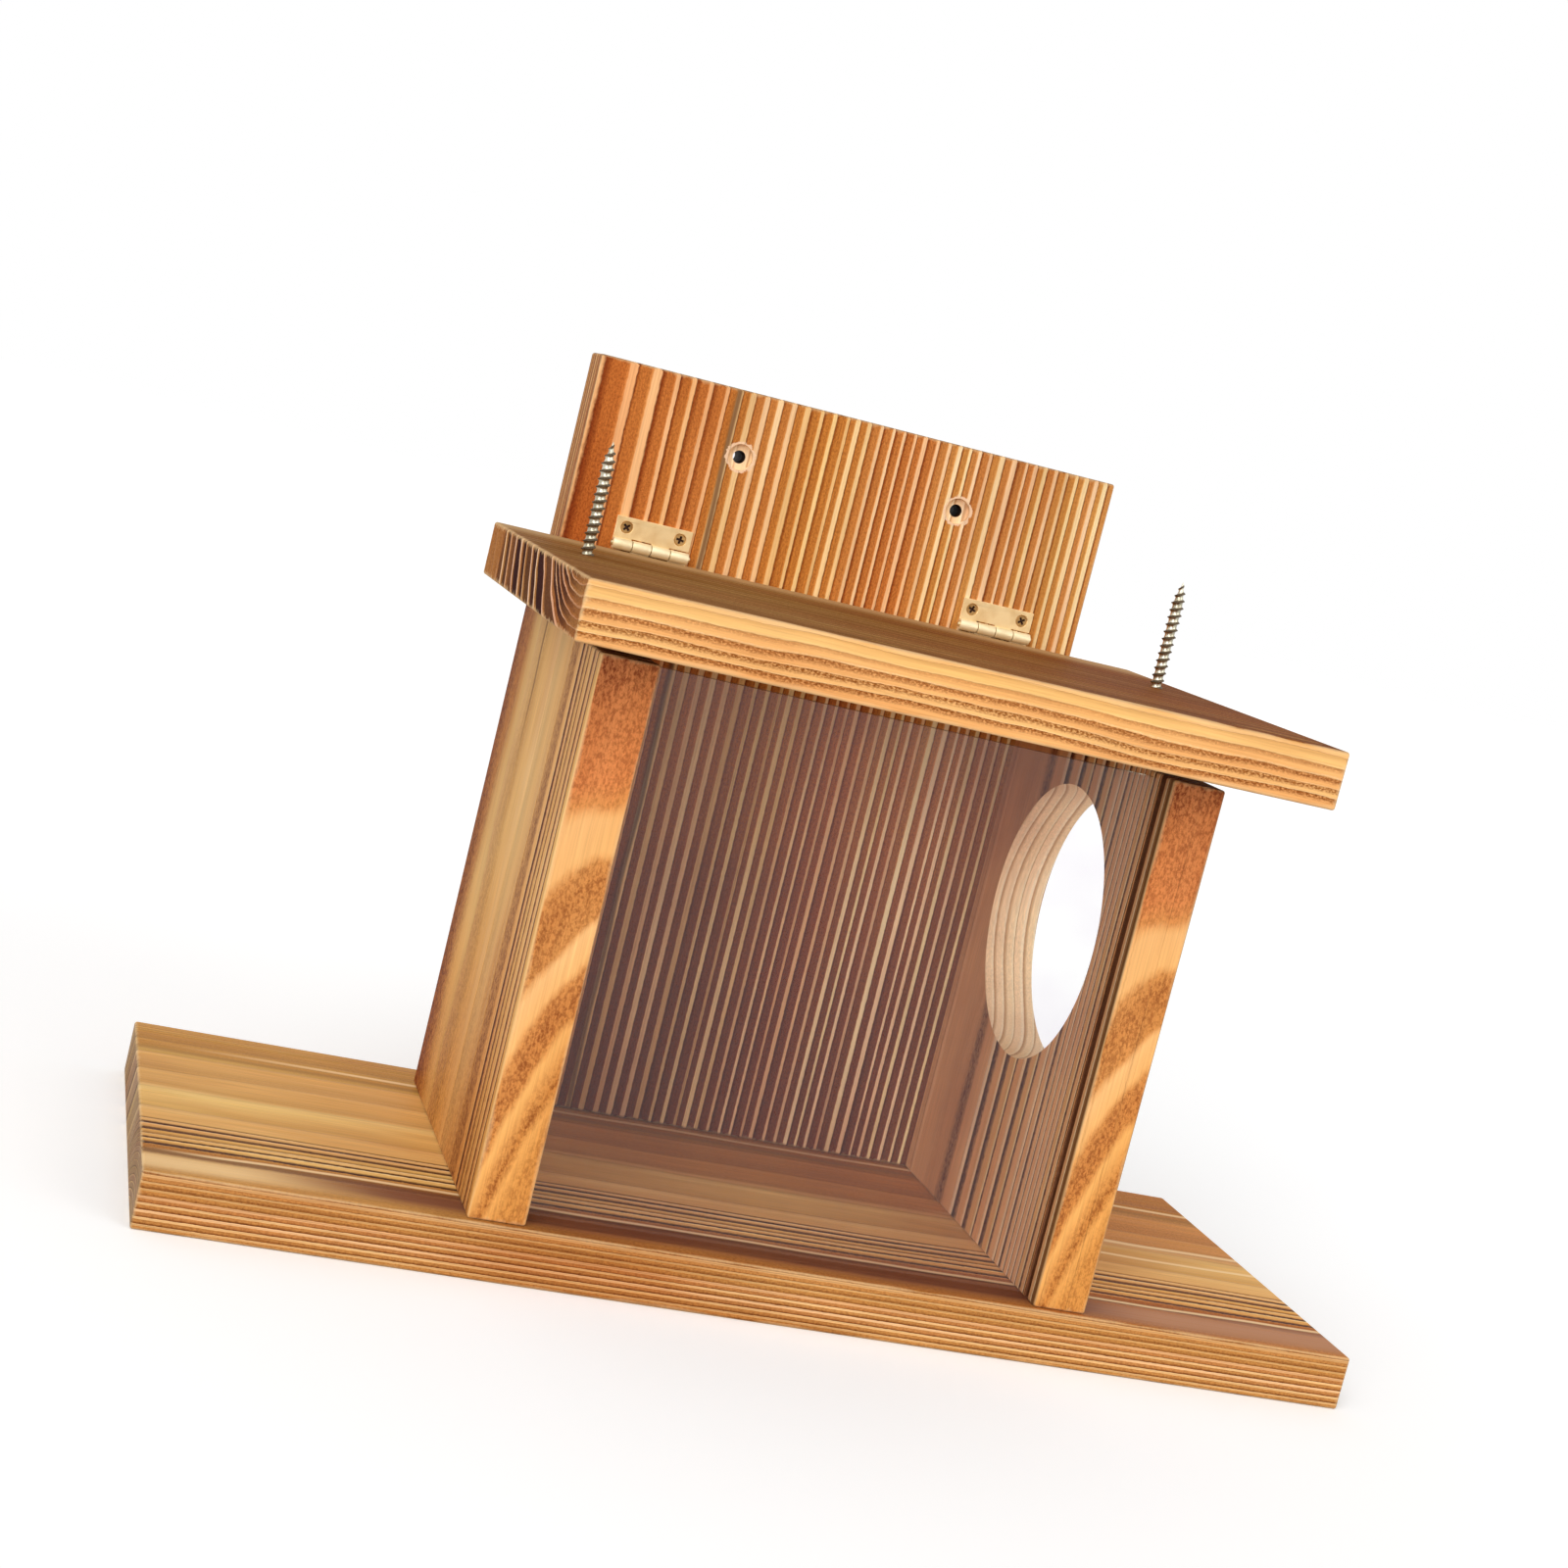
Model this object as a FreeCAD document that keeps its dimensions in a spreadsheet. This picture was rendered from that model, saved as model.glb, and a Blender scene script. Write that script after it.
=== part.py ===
"""Wall-hung feeder box: a clear-fronted wooden box on a long base, under a hinged lid.

Frame: +X to the right seen from the front, +Y towards the wall, +Z up, in millimetres.
The origin is at the middle of the underside.
"""
import FreeCAD, Part
import Sketcher
import os
import re

# Driving dimensions
SIZES = {
    # boards, all cut from one stock
    "board_thickness": 16.0,
    "edge_round": 0.8,
    "box_width": 180.0,
    "side_height": 154.0,
    "side_depth": 124.0,
    "base_porch": 85.0,
    "base_front_lip": 2.0,
    "back_inset": 5.0,
    "back_rise": 56.0,
    "lid_end_overhang": 15.0,
    "lid_front_overhang": 35.0,
    # round way in, through the right side panel
    "entrance_radius": 42.0,
    "entrance_behind_middle": 3.0,
    "entrance_top_margin": 14.0,
    # clear front sheet and the grooves that hold it
    "pane_thickness": 3.0,
    "pane_setback": 5.0,
    "pane_top_drop": 1.0,
    "groove_depth": 5.0,
    "pane_slack": 0.2,
    # hanging holes in the back board
    "hang_spacing": 72.0,
    "hang_drop": 20.0,
    "hang_radius": 2.0,
    "hang_counterbore_radius": 4.0,
    "hang_counterbore_depth": 2.0,
    # butt hinges
    "hinge_inset": 16.0,
    "hinge_length": 24.0,
    "leaf_thickness": 0.9,
    "leaf_reach": 8.4,
    "barrel_radius": 1.75,
    "barrel_clearance": 0.3,
    "knuckle_gap": 0.3,
    "pin_radius": 0.9,
    "pin_clearance": 0.05,
    "pin_chamfer": 0.3,
    "pin_stand_out": 0.6,
    # small screws in the hinge leaves
    "leaf_screw_radius": 1.0,
    "leaf_screw_head_radius": 1.9,
    "leaf_screw_length": 10.0,
    "leaf_screw_tip": 2.0,
    "leaf_screw_margin": 3.5,
    # screws that hold the boards together
    "wood_screw_radius": 1.75,
    "wood_screw_head_radius": 3.5,
    "wood_screw_length": 35.0,
    "wood_screw_tip": 4.0,
    "base_screw_margin": 30.0,
    "back_base_screw_spacing": 100.0,
    "back_screw_margin": 18.0,
    # long screws that stand up through the lid, whose heads rest on the side panels
    "cob_swing_clearance": 1.0,
    "cob_from_front": 60.0,
    "cob_radius": 2.0,
    "cob_length": 48.0,
    "cob_tip": 6.0,
    "cob_head_radius": 4.0,
    "cob_head_height": 4.0,
    "cob_head_chamfer": 1.0,
    "lid_rest_clearance": 0.3,
    # room between a screw and the hole it sits in, and how far a head is sunk
    "screw_fit": 0.05,
    "head_sink": 0.1,
}

# Heights
BASE_TOP = "board_thickness"
SIDE_TOP = f"({BASE_TOP} + side_height)"
LID_UNDER = f"({SIDE_TOP} + lid_rest_clearance + cob_head_height)"
LID_TOP = f"({LID_UNDER} + board_thickness)"
BACK_TOP = f"({LID_TOP} + back_rise)"
HANG_Z = f"({BACK_TOP} - hang_drop)"
PIN_Z = f"({LID_TOP} + barrel_radius + barrel_clearance)"

# Depths, with the front of the lid and the rear of the back board equally far from the origin
BACK_REAR = "((lid_front_overhang + side_depth + board_thickness) / 2)"
BACK_FRONT = f"({BACK_REAR} - board_thickness)"
SIDE_FRONT = f"({BACK_FRONT} - side_depth)"
BASE_FRONT = f"({SIDE_FRONT} - base_front_lip)"
LID_FRONT = f"({SIDE_FRONT} - lid_front_overhang)"
LID_REAR = f"({BACK_FRONT} - barrel_clearance - leaf_thickness)"
PIN_OFF_WALL = "(barrel_radius + barrel_clearance)"
PIN_Y = f"({BACK_FRONT} - {PIN_OFF_WALL})"
COB_Y = f"({SIDE_FRONT} + cob_from_front)"

# Widths, each measured from the middle
SIDE_INSIDE = "(box_width / 2 - board_thickness)"
SIDE_MIDDLE = "((box_width - board_thickness) / 2)"
BASE_END = "(box_width / 2 + base_porch)"
LID_END = "(box_width / 2 + lid_end_overhang)"
BACK_EDGE = "(box_width / 2 - back_inset)"
BACK_SCREW_X = f"(({SIDE_INSIDE} + {BACK_EDGE}) / 2)"
# the cob screws swing past the back board's edges as the lid opens
COB_X = f"({BACK_EDGE} + cob_swing_clearance + cob_radius)"
HINGE_X = f"({BACK_EDGE} - hinge_inset - hinge_length / 2)"

# Within a hinge, whose four knuckles belong to the wall leaf and the lid leaf by turns
KNUCKLE_PITCH = "(hinge_length / 4)"
LID_KNUCKLE = f"({KNUCKLE_PITCH} - knuckle_gap)"
LID_KNUCKLE_NOTCH = f"({KNUCKLE_PITCH} + knuckle_gap)"
FIRST_LID_KNUCKLE = f"-{KNUCKLE_PITCH} / 2"
LID_KNUCKLE_ROW = ("X_Axis", f"2 * {KNUCKLE_PITCH}")
LEAF_SCREW_SPACING = "(hinge_length - 2 * leaf_screw_margin)"
LEAF_SCREW_REACH = f"(({PIN_OFF_WALL} + leaf_reach) / 2)"

# The two hands of a paired piece, with the sign of X on that side
HANDS = {"left": "-1", "right": "1"}

doc = FreeCAD.newDocument("FeederBox")
sheet = doc.addObject("Spreadsheet::Sheet", "Sizes")
for row, (alias, value) in enumerate(SIZES.items(), start=1):
    sheet.set(f"A{row}", alias.replace("_", " "))
    sheet.set(f"B{row}", str(value))
    sheet.setAlias(f"B{row}", alias)
doc.recompute()


def formula(text):
    """Return an expression in which every size is read from its cell in the sheet."""
    return re.sub(r"[a-z_]+", lambda word: f"Sizes.{word.group()}", text)


def bind(item, path, text):
    """Drive one property of an object by an expression of sizes."""
    item.setExpression(path, formula(text))


def make_body(label, x, y, z):
    """Add a body whose own origin lies at a given place in the assembly."""
    body = doc.addObject("PartDesign::Body", label)
    body.Label = label
    body.AllowCompound = True
    for axis, text in zip("xyz", (x, y, z)):
        bind(body, f"Placement.Base.{axis}", text)
    return body


def origin_feature(body, role):
    """Return one of a body's own origin planes or axes."""
    return next(item for item in body.Origin.OriginFeatures if item.Role == role)


def make_sketch(body, name, plane, shift=("0", "0", "0"), turned=0):
    """Add a sketch on one of the body's origin planes.

    Args:
        shift: how far the sketch is moved along its own two axes and its normal.
        turned: how far it is turned about its normal, in degrees.
    """
    sketch = body.newObject("Sketcher::SketchObject", name)
    sketch.AttachmentSupport = [(origin_feature(body, plane), "")]
    sketch.MapMode = "FlatFace"
    normal = FreeCAD.Vector(0, 0, 1)
    sketch.AttachmentOffset = FreeCAD.Placement(FreeCAD.Vector(), FreeCAD.Rotation(normal, turned))
    for axis, text in zip("xyz", shift):
        bind(sketch, f"AttachmentOffset.Base.{axis}", text)
    return sketch


def draw_outline(sketch, corners):
    """Draw a closed outline whose corners are pairs of expressions, each measured from the origin."""
    places = [
        FreeCAD.Vector(*(float(sketch.evalExpression(formula(text))) for text in corner), 0)
        for corner in corners
    ]
    count = len(corners)
    for index in range(count):
        sketch.addGeometry(Part.LineSegment(places[index], places[(index + 1) % count]))
    for index in range(count):
        sketch.addConstraint(Sketcher.Constraint("Coincident", index, 2, (index + 1) % count, 1))
    for index, corner in enumerate(corners):
        for kind, text, distance, axis_line in zip(
            ("DistanceX", "DistanceY"), corner, places[index], (-2, -1)
        ):
            if text == "0":
                sketch.addConstraint(Sketcher.Constraint("PointOnObject", index, 1, axis_line))
                continue
            number = sketch.addConstraint(Sketcher.Constraint(kind, -1, 1, index, 1, distance))
            bind(sketch, f"Constraints[{number}]", text)


def draw_rectangle(sketch, low, high):
    """Draw a rectangle between two opposite corners."""
    draw_outline(sketch, (low, (high[0], low[1]), high, (low[0], high[1])))


def draw_circle(sketch, radius):
    """Draw a circle about the sketch's origin."""
    start = float(sketch.evalExpression(formula(radius)))
    sketch.addGeometry(Part.Circle(FreeCAD.Vector(), FreeCAD.Vector(0, 0, 1), start))
    sketch.addConstraint(Sketcher.Constraint("Coincident", 0, 3, -1, 1))
    number = sketch.addConstraint(Sketcher.Constraint("Radius", 0, start))
    bind(sketch, f"Constraints[{number}]", radius)


def extrude(body, kind, name, sketch, length, reverse=False, both_ways=False):
    """Add a Pad or a Pocket of a sketch, to one side or shared between both sides."""
    feature = body.newObject(f"PartDesign::{kind}", name)
    feature.Profile = sketch
    if both_ways:
        feature.SideType = "Symmetric"
    feature.Reversed = reverse
    bind(feature, "Length", length)
    return feature


def turn(body, kind, name, sketch):
    """Add a full Revolution or Groove of a sketch about the sketch's own vertical axis."""
    feature = body.newObject(f"PartDesign::{kind}", name)
    feature.Profile = sketch
    feature.ReferenceAxis = (sketch, ["V_Axis"])
    feature.Angle = 360
    return feature


def pair(body, feature, name, role, spacing):
    """Repeat a feature once, at a given spacing along one of the body's origin axes."""
    pattern = body.newObject("PartDesign::LinearPattern", name)
    pattern.Originals = [feature]
    pattern.Direction = (origin_feature(body, role), [""])
    bind(pattern, "Length", spacing)
    pattern.Occurrences = 2
    body.Tip = pattern
    return pattern


def make_board(label, plane, place, width, height):
    """Add a board as a rectangle padded by the stock thickness, with every edge eased.

    The board's low corner is at its place, and it grows along +X, +Y and +Z.
    """
    body = make_body(label, *place)
    sketch = make_sketch(body, f"{label}_outline", plane)
    draw_rectangle(sketch, ("0", "0"), (width, height))
    # an XZ sketch faces the front, so a pad towards the wall is reversed
    board = extrude(body, "Pad", f"{label}_stock", sketch, "board_thickness", reverse=plane == "XZ_Plane")
    doc.recompute()
    eased = body.newObject("PartDesign::Fillet", f"{label}_eased")
    eased.Base = (board, ["Face1"])
    eased.UseAllEdges = True
    bind(eased, "Radius", "edge_round")
    return body


# Ways that a turned piece can point: the sketch plane, and how far the sketch is turned in it
AIMS = {
    "up": ("XZ_Plane", 0),
    "to_wall": ("XY_Plane", 0),
    "to_front": ("XY_Plane", 180),
    "to_right": ("XY_Plane", -90),
}


def draw_profile(body, name, profile, aim, place):
    """Draw a half profile whose axis starts at a place in the body and points along the aim."""
    plane, turned = AIMS[aim]
    x, y, z = place
    # an XZ sketch runs along X and Z, and its normal points to the front
    shift = (x, z, f"-({y})") if plane == "XZ_Plane" else place
    sketch = make_sketch(body, name, plane, shift, turned)
    draw_outline(sketch, profile)
    return sketch


def make_turned(label, profile, aim, place, row=None):
    """Add a turned piece that starts at a place in the assembly, or two of them in a row."""
    body = make_body(label, *place)
    sketch = draw_profile(body, f"{label}_profile", profile, aim, ("0", "0", "0"))
    feature = turn(body, "Revolution", f"{label}_turned", sketch)
    if row:
        pair(body, feature, f"{label}_pair", *row)
    return body


def bore_turned(body, origin, name, profile, aim, place, row=None):
    """Cut a turned hole, or two in a row, into a body whose own origin is given."""
    local = tuple(f"({at}) - ({start})" for at, start in zip(place, origin))
    sketch = draw_profile(body, f"{name}_profile", profile, aim, local)
    feature = turn(body, "Groove", name, sketch)
    if row:
        pair(body, feature, f"{name}_pair", *row)


def countersunk_screw(kind):
    """Return the half profile of a screw whose flat head lies just under the surface.

    Args:
        kind: first words of the names of its sizes, such as wood_screw.
    """
    head, shank = f"{kind}_head_radius", f"{kind}_radius"
    return (
        ("0", "head_sink"),
        (head, "head_sink"),
        (shank, f"head_sink + {head} - {shank}"),
        (shank, f"{kind}_length - {kind}_tip"),
        ("0", f"{kind}_length"),
    )


def countersunk_hole(kind):
    """Return the half profile of the hole that a countersunk screw sits in, from the surface down."""
    head, shank = f"{kind}_head_radius", f"{kind}_radius"
    return (
        ("0", "0"),
        (f"{head} + screw_fit", "0"),
        (f"{head} + screw_fit", "head_sink"),
        (f"{shank} + screw_fit", f"head_sink + {head} - {shank}"),
        (f"{shank} + screw_fit", f"{kind}_length + screw_fit"),
        ("0", f"{kind}_length + screw_fit"),
    )


# Half profiles, as pairs of a radius and a distance along the axis
WOOD_SCREW = countersunk_screw("wood_screw")
WOOD_SCREW_HOLE = countersunk_hole("wood_screw")
LEAF_SCREW = countersunk_screw("leaf_screw")
LEAF_SCREW_HOLE = countersunk_hole("leaf_screw")
# the cob screw's flat head bears on the lid from below
COB_SCREW = (
    ("0", "0"),
    ("cob_head_radius - cob_head_chamfer", "0"),
    ("cob_head_radius", "cob_head_chamfer"),
    ("cob_head_radius", "cob_head_height"),
    ("cob_radius", "cob_head_height"),
    ("cob_radius", "cob_head_height + cob_length - cob_tip"),
    ("0", "cob_head_height + cob_length"),
)
COB_BORE = (
    ("0", "cob_head_height"),
    ("cob_radius + screw_fit", "cob_head_height"),
    ("cob_radius + screw_fit", "cob_head_height + board_thickness"),
    ("0", "cob_head_height + board_thickness"),
)
HANGING_HOLE = (
    ("0", "0"),
    ("hang_counterbore_radius", "0"),
    ("hang_counterbore_radius", "hang_counterbore_depth"),
    ("hang_radius", "hang_counterbore_depth"),
    ("hang_radius", "board_thickness"),
    ("0", "board_thickness"),
)
PIN_LENGTH = "(hinge_length + 2 * pin_stand_out)"
HINGE_PIN = (
    ("0", "0"),
    ("pin_radius - pin_chamfer", "0"),
    ("pin_radius", "pin_chamfer"),
    ("pin_radius", f"{PIN_LENGTH} - pin_chamfer"),
    ("pin_radius - pin_chamfer", PIN_LENGTH),
    ("0", PIN_LENGTH),
)

# Places of the screws, shared by the screws and the holes they sit in
BASE_SCREW_ROW = ("Y_Axis", "side_depth - 2 * base_screw_margin")
BACK_BASE_ROW = ("X_Axis", "back_base_screw_spacing")
BACK_SCREW_ROW = ("Z_Axis", "side_height - 2 * back_screw_margin")
LEAF_SCREW_ROW = ("X_Axis", LEAF_SCREW_SPACING)
HANG_ROW = ("X_Axis", "hang_spacing")
BACK_BASE_PLACE = ("-back_base_screw_spacing / 2", f"{BACK_REAR} - board_thickness / 2", "0")
HANG_PLACE = ("-hang_spacing / 2", BACK_FRONT, HANG_Z)


def base_screw_place(sign):
    """Return the place of the front base screw under one side panel."""
    return (f"{sign} * {SIDE_MIDDLE}", f"{SIDE_FRONT} + base_screw_margin", "0")


def back_screw_place(sign):
    """Return the place of the lower screw through the back board into one side panel."""
    return (f"{sign} * {BACK_SCREW_X}", BACK_REAR, f"{BASE_TOP} + back_screw_margin")


def wall_leaf_screw_place(sign):
    """Return the place of the left screw in a hinge's upper leaf."""
    x = f"{sign} * {HINGE_X} - {LEAF_SCREW_SPACING} / 2"
    return (x, f"{BACK_FRONT} - leaf_thickness", f"{PIN_Z} + {LEAF_SCREW_REACH}")


def lid_leaf_screw_place(sign):
    """Return the place of the left screw in a hinge's lower leaf."""
    x = f"{sign} * {HINGE_X} - {LEAF_SCREW_SPACING} / 2"
    return (x, f"{LID_REAR} + leaf_thickness", f"{PIN_Z} - {LEAF_SCREW_REACH}")


def cob_screw_place(sign):
    """Return the place of the underside of one cob screw's head."""
    return (f"{sign} * {COB_X}", COB_Y, f"{LID_UNDER} - cob_head_height")


def make_base_board():
    """Long base with a porch at each end, screwed up into the boards that stand on it."""
    origin = (f"-{BASE_END}", BASE_FRONT, "0")
    body = make_board("base_board", "XY_Plane", origin, f"2 * {BASE_END}", f"{BACK_REAR} - {BASE_FRONT}")
    for hand, sign in HANDS.items():
        name = f"{hand}_base_screw_hole"
        bore_turned(body, origin, name, WOOD_SCREW_HOLE, "up", base_screw_place(sign), BASE_SCREW_ROW)
    bore_turned(
        body, origin, "back_base_screw_hole", WOOD_SCREW_HOLE, "up", BACK_BASE_PLACE, BACK_BASE_ROW
    )
    return body


def make_back_board():
    """Tall back board, with the hanging holes near its top and the hinges below them."""
    origin = (f"-{BACK_EDGE}", BACK_FRONT, BASE_TOP)
    body = make_board("back_board", "XZ_Plane", origin, f"2 * {BACK_EDGE}", f"{BACK_TOP} - {BASE_TOP}")
    bore_turned(body, origin, "hanging_hole", HANGING_HOLE, "to_wall", HANG_PLACE, HANG_ROW)
    bore_turned(body, origin, "back_base_pilot", WOOD_SCREW_HOLE, "up", BACK_BASE_PLACE, BACK_BASE_ROW)
    for hand, sign in HANDS.items():
        name = f"{hand}_back_screw_hole"
        bore_turned(body, origin, name, WOOD_SCREW_HOLE, "to_front", back_screw_place(sign), BACK_SCREW_ROW)
        name = f"{hand}_wall_leaf_pilot"
        place = wall_leaf_screw_place(sign)
        bore_turned(body, origin, name, LEAF_SCREW_HOLE, "to_wall", place, LEAF_SCREW_ROW)
    return body


def make_side_panel(hand, sign):
    """Side panel with a groove for the pane, and the round way in on the right."""
    origin = (f"{sign} * {SIDE_MIDDLE} - board_thickness / 2", SIDE_FRONT, BASE_TOP)
    body = make_board(f"{hand}_side_panel", "YZ_Plane", origin, "side_depth", "side_height")

    groove_back = "pane_setback + pane_thickness + 2 * pane_slack"
    lift = "board_thickness - groove_depth" if hand == "left" else "0"
    groove = make_sketch(body, f"{hand}_groove_outline", "YZ_Plane", ("0", "0", lift))
    draw_rectangle(groove, ("pane_setback", "0"), (groove_back, "side_height"))
    extrude(body, "Pocket", f"{hand}_pane_groove", groove, "groove_depth", reverse=True)

    if hand == "right":
        across = "side_depth / 2 + entrance_behind_middle"
        up = "side_height - entrance_top_margin - entrance_radius"
        entrance = make_sketch(body, "entrance_outline", "YZ_Plane", (across, up, "0"))
        draw_circle(entrance, "entrance_radius")
        extrude(body, "Pocket", "entrance", entrance, "board_thickness", reverse=True)

    name = f"{hand}_base_pilot"
    bore_turned(body, origin, name, WOOD_SCREW_HOLE, "up", base_screw_place(sign), BASE_SCREW_ROW)
    name = f"{hand}_back_pilot"
    bore_turned(body, origin, name, WOOD_SCREW_HOLE, "to_front", back_screw_place(sign), BACK_SCREW_ROW)
    return body


def make_lid_board():
    """Hinged lid, bored for the cob screws and drilled along its rear edge for the hinges."""
    origin = (f"-{LID_END}", LID_FRONT, LID_UNDER)
    body = make_board("lid_board", "XY_Plane", origin, f"2 * {LID_END}", f"{LID_REAR} - {LID_FRONT}")
    for hand, sign in HANDS.items():
        bore_turned(body, origin, f"{hand}_cob_bore", COB_BORE, "up", cob_screw_place(sign))
        name = f"{hand}_lid_leaf_pilot"
        place = lid_leaf_screw_place(sign)
        bore_turned(body, origin, name, LEAF_SCREW_HOLE, "to_front", place, LEAF_SCREW_ROW)
    return body


def make_front_pane():
    """Clear sheet that stands on the base and slides down the grooves in the side panels."""
    half_width = f"({SIDE_INSIDE} + groove_depth - pane_slack)"
    front = f"{SIDE_FRONT} + pane_setback + pane_slack"
    body = make_body("front_pane", f"-{half_width}", front, BASE_TOP)
    sketch = make_sketch(body, "pane_outline", "XZ_Plane")
    draw_rectangle(sketch, ("0", "0"), (f"2 * {half_width}", "side_height - pane_top_drop"))
    extrude(body, "Pad", "pane_sheet", sketch, "pane_thickness", reverse=True)
    return body


def hinge_place(sign):
    """Return the middle of one hinge's pin."""
    return (f"{sign} * {HINGE_X}", PIN_Y, PIN_Z)


def bore_knuckles(body, label):
    """Bore a leaf's knuckles for the pin."""
    bore = make_sketch(body, f"{label}_bore_outline", "YZ_Plane")
    draw_circle(bore, "pin_radius + pin_clearance")
    extrude(body, "Pocket", f"{label}_bore", bore, "hinge_length", both_ways=True)


def roll_barrel(body, label, length, middle="0"):
    """Add a leaf's barrel about the pin axis, centred at a given distance along it."""
    barrel = make_sketch(body, f"{label}_barrel_outline", "YZ_Plane", ("0", "0", middle))
    draw_circle(barrel, "barrel_radius")
    return extrude(body, "Pad", f"{label}_barrel", barrel, length, both_ways=True)


def make_wall_leaf(hand, sign):
    """Upper leaf, flat on the back board, whose barrel is notched for the lid leaf's knuckles."""
    label = f"{hand}_hinge_wall_leaf"
    origin = hinge_place(sign)
    body = make_body(label, *origin)
    plate = make_sketch(body, f"{label}_plate_outline", "YZ_Plane")
    draw_rectangle(plate, (f"{PIN_OFF_WALL} - leaf_thickness", "0"), (PIN_OFF_WALL, "leaf_reach"))
    extrude(body, "Pad", f"{label}_plate", plate, "hinge_length", both_ways=True)
    roll_barrel(body, label, "hinge_length")

    outline = make_sketch(body, f"{label}_notch_outline", "YZ_Plane", ("0", "0", FIRST_LID_KNUCKLE))
    draw_rectangle(outline, (f"-{PIN_OFF_WALL}", f"-{PIN_OFF_WALL}"), (PIN_OFF_WALL, PIN_OFF_WALL))
    notch = extrude(body, "Pocket", f"{label}_notch", outline, LID_KNUCKLE_NOTCH, both_ways=True)
    pair(body, notch, f"{label}_notches", *LID_KNUCKLE_ROW)
    bore_knuckles(body, label)
    place = wall_leaf_screw_place(sign)
    bore_turned(body, origin, f"{label}_screw_hole", LEAF_SCREW_HOLE, "to_wall", place, LEAF_SCREW_ROW)
    return body


def make_lid_leaf(hand, sign):
    """Lower leaf, on the lid's rear edge, with its knuckles on tongues."""
    label = f"{hand}_hinge_lid_leaf"
    origin = hinge_place(sign)
    body = make_body(label, *origin)
    front = f"({PIN_OFF_WALL} - barrel_clearance - leaf_thickness)"
    rear = f"({front} + leaf_thickness)"
    plate = make_sketch(body, f"{label}_plate_outline", "YZ_Plane")
    draw_rectangle(plate, (front, "-leaf_reach"), (rear, f"-{PIN_OFF_WALL}"))
    extrude(body, "Pad", f"{label}_plate", plate, "hinge_length", both_ways=True)
    outline = make_sketch(body, f"{label}_tongue_outline", "YZ_Plane", ("0", "0", FIRST_LID_KNUCKLE))
    draw_rectangle(outline, (front, f"-{PIN_OFF_WALL}"), (rear, "0"))
    tongue = extrude(body, "Pad", f"{label}_tongue", outline, LID_KNUCKLE, both_ways=True)
    pair(body, tongue, f"{label}_tongues", *LID_KNUCKLE_ROW)
    barrel = roll_barrel(body, label, LID_KNUCKLE, FIRST_LID_KNUCKLE)
    pair(body, barrel, f"{label}_barrels", *LID_KNUCKLE_ROW)
    bore_knuckles(body, label)
    place = lid_leaf_screw_place(sign)
    bore_turned(body, origin, f"{label}_screw_hole", LEAF_SCREW_HOLE, "to_front", place, LEAF_SCREW_ROW)
    return body


def make_hand(hand, sign):
    """Add every piece that has a left and a right."""
    wall_leaf_screw = wall_leaf_screw_place(sign)
    lid_leaf_screw = lid_leaf_screw_place(sign)
    pin_x, pin_y, pin_z = hinge_place(sign)
    pin_end = (f"{pin_x} - {PIN_LENGTH} / 2", pin_y, pin_z)
    return [
        make_side_panel(hand, sign),
        make_wall_leaf(hand, sign),
        make_lid_leaf(hand, sign),
        make_turned(f"{hand}_hinge_pin", HINGE_PIN, "to_right", pin_end),
        make_turned(f"{hand}_hinge_wall_screws", LEAF_SCREW, "to_wall", wall_leaf_screw, LEAF_SCREW_ROW),
        make_turned(f"{hand}_hinge_lid_screws", LEAF_SCREW, "to_front", lid_leaf_screw, LEAF_SCREW_ROW),
        make_turned(f"{hand}_cob_screw", COB_SCREW, "up", cob_screw_place(sign)),
        make_turned(f"{hand}_base_screws", WOOD_SCREW, "up", base_screw_place(sign), BASE_SCREW_ROW),
        make_turned(f"{hand}_back_screws", WOOD_SCREW, "to_front", back_screw_place(sign), BACK_SCREW_ROW),
    ]


def check_model(bodies):
    """Stop if a feature failed, a shape is not sound, or a cut took nothing away."""
    for item in doc.Objects:
        if {"Invalid", "Error"} & set(item.State):
            raise RuntimeError(f"{item.Label} failed: {item.State}")
        if item.TypeId in ("PartDesign::Pocket", "PartDesign::Groove"):
            if item.Shape.Volume >= item.BaseFeature.Shape.Volume:
                raise RuntimeError(f"{item.Label} cuts nothing")
    for body in bodies:
        if body.Shape.isNull() or not body.Shape.isValid():
            raise RuntimeError(f"{body.Label} is not a sound solid")


def main():
    """Build every piece, check the model and write one file per piece."""
    bodies = [make_base_board(), make_back_board(), make_lid_board(), make_front_pane()]
    for hand, sign in HANDS.items():
        bodies += make_hand(hand, sign)
    bodies.append(make_turned("back_base_screws", WOOD_SCREW, "up", BACK_BASE_PLACE, BACK_BASE_ROW))
    doc.recompute()
    check_model(bodies)
    os.makedirs("parts", exist_ok=True)
    for body in bodies:
        body.Shape.exportStep(f"parts/{body.Label}.step")
        print(f"{body.Label}: {len(body.Shape.Solids)} solid(s), {body.Shape.Volume:.1f} mm3")


main()
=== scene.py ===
"""Looks of the wall feeder box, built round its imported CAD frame.

A name that ends in _mm holds millimetres. Every other length is in metres, as Blender has them.
"""

import logging
import math
from dataclasses import dataclass
from enum import Enum
from functools import partial
from typing import Any, Callable, Iterable, Optional, Sequence

import bmesh
import bpy
from mathutils import Matrix, Vector


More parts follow.
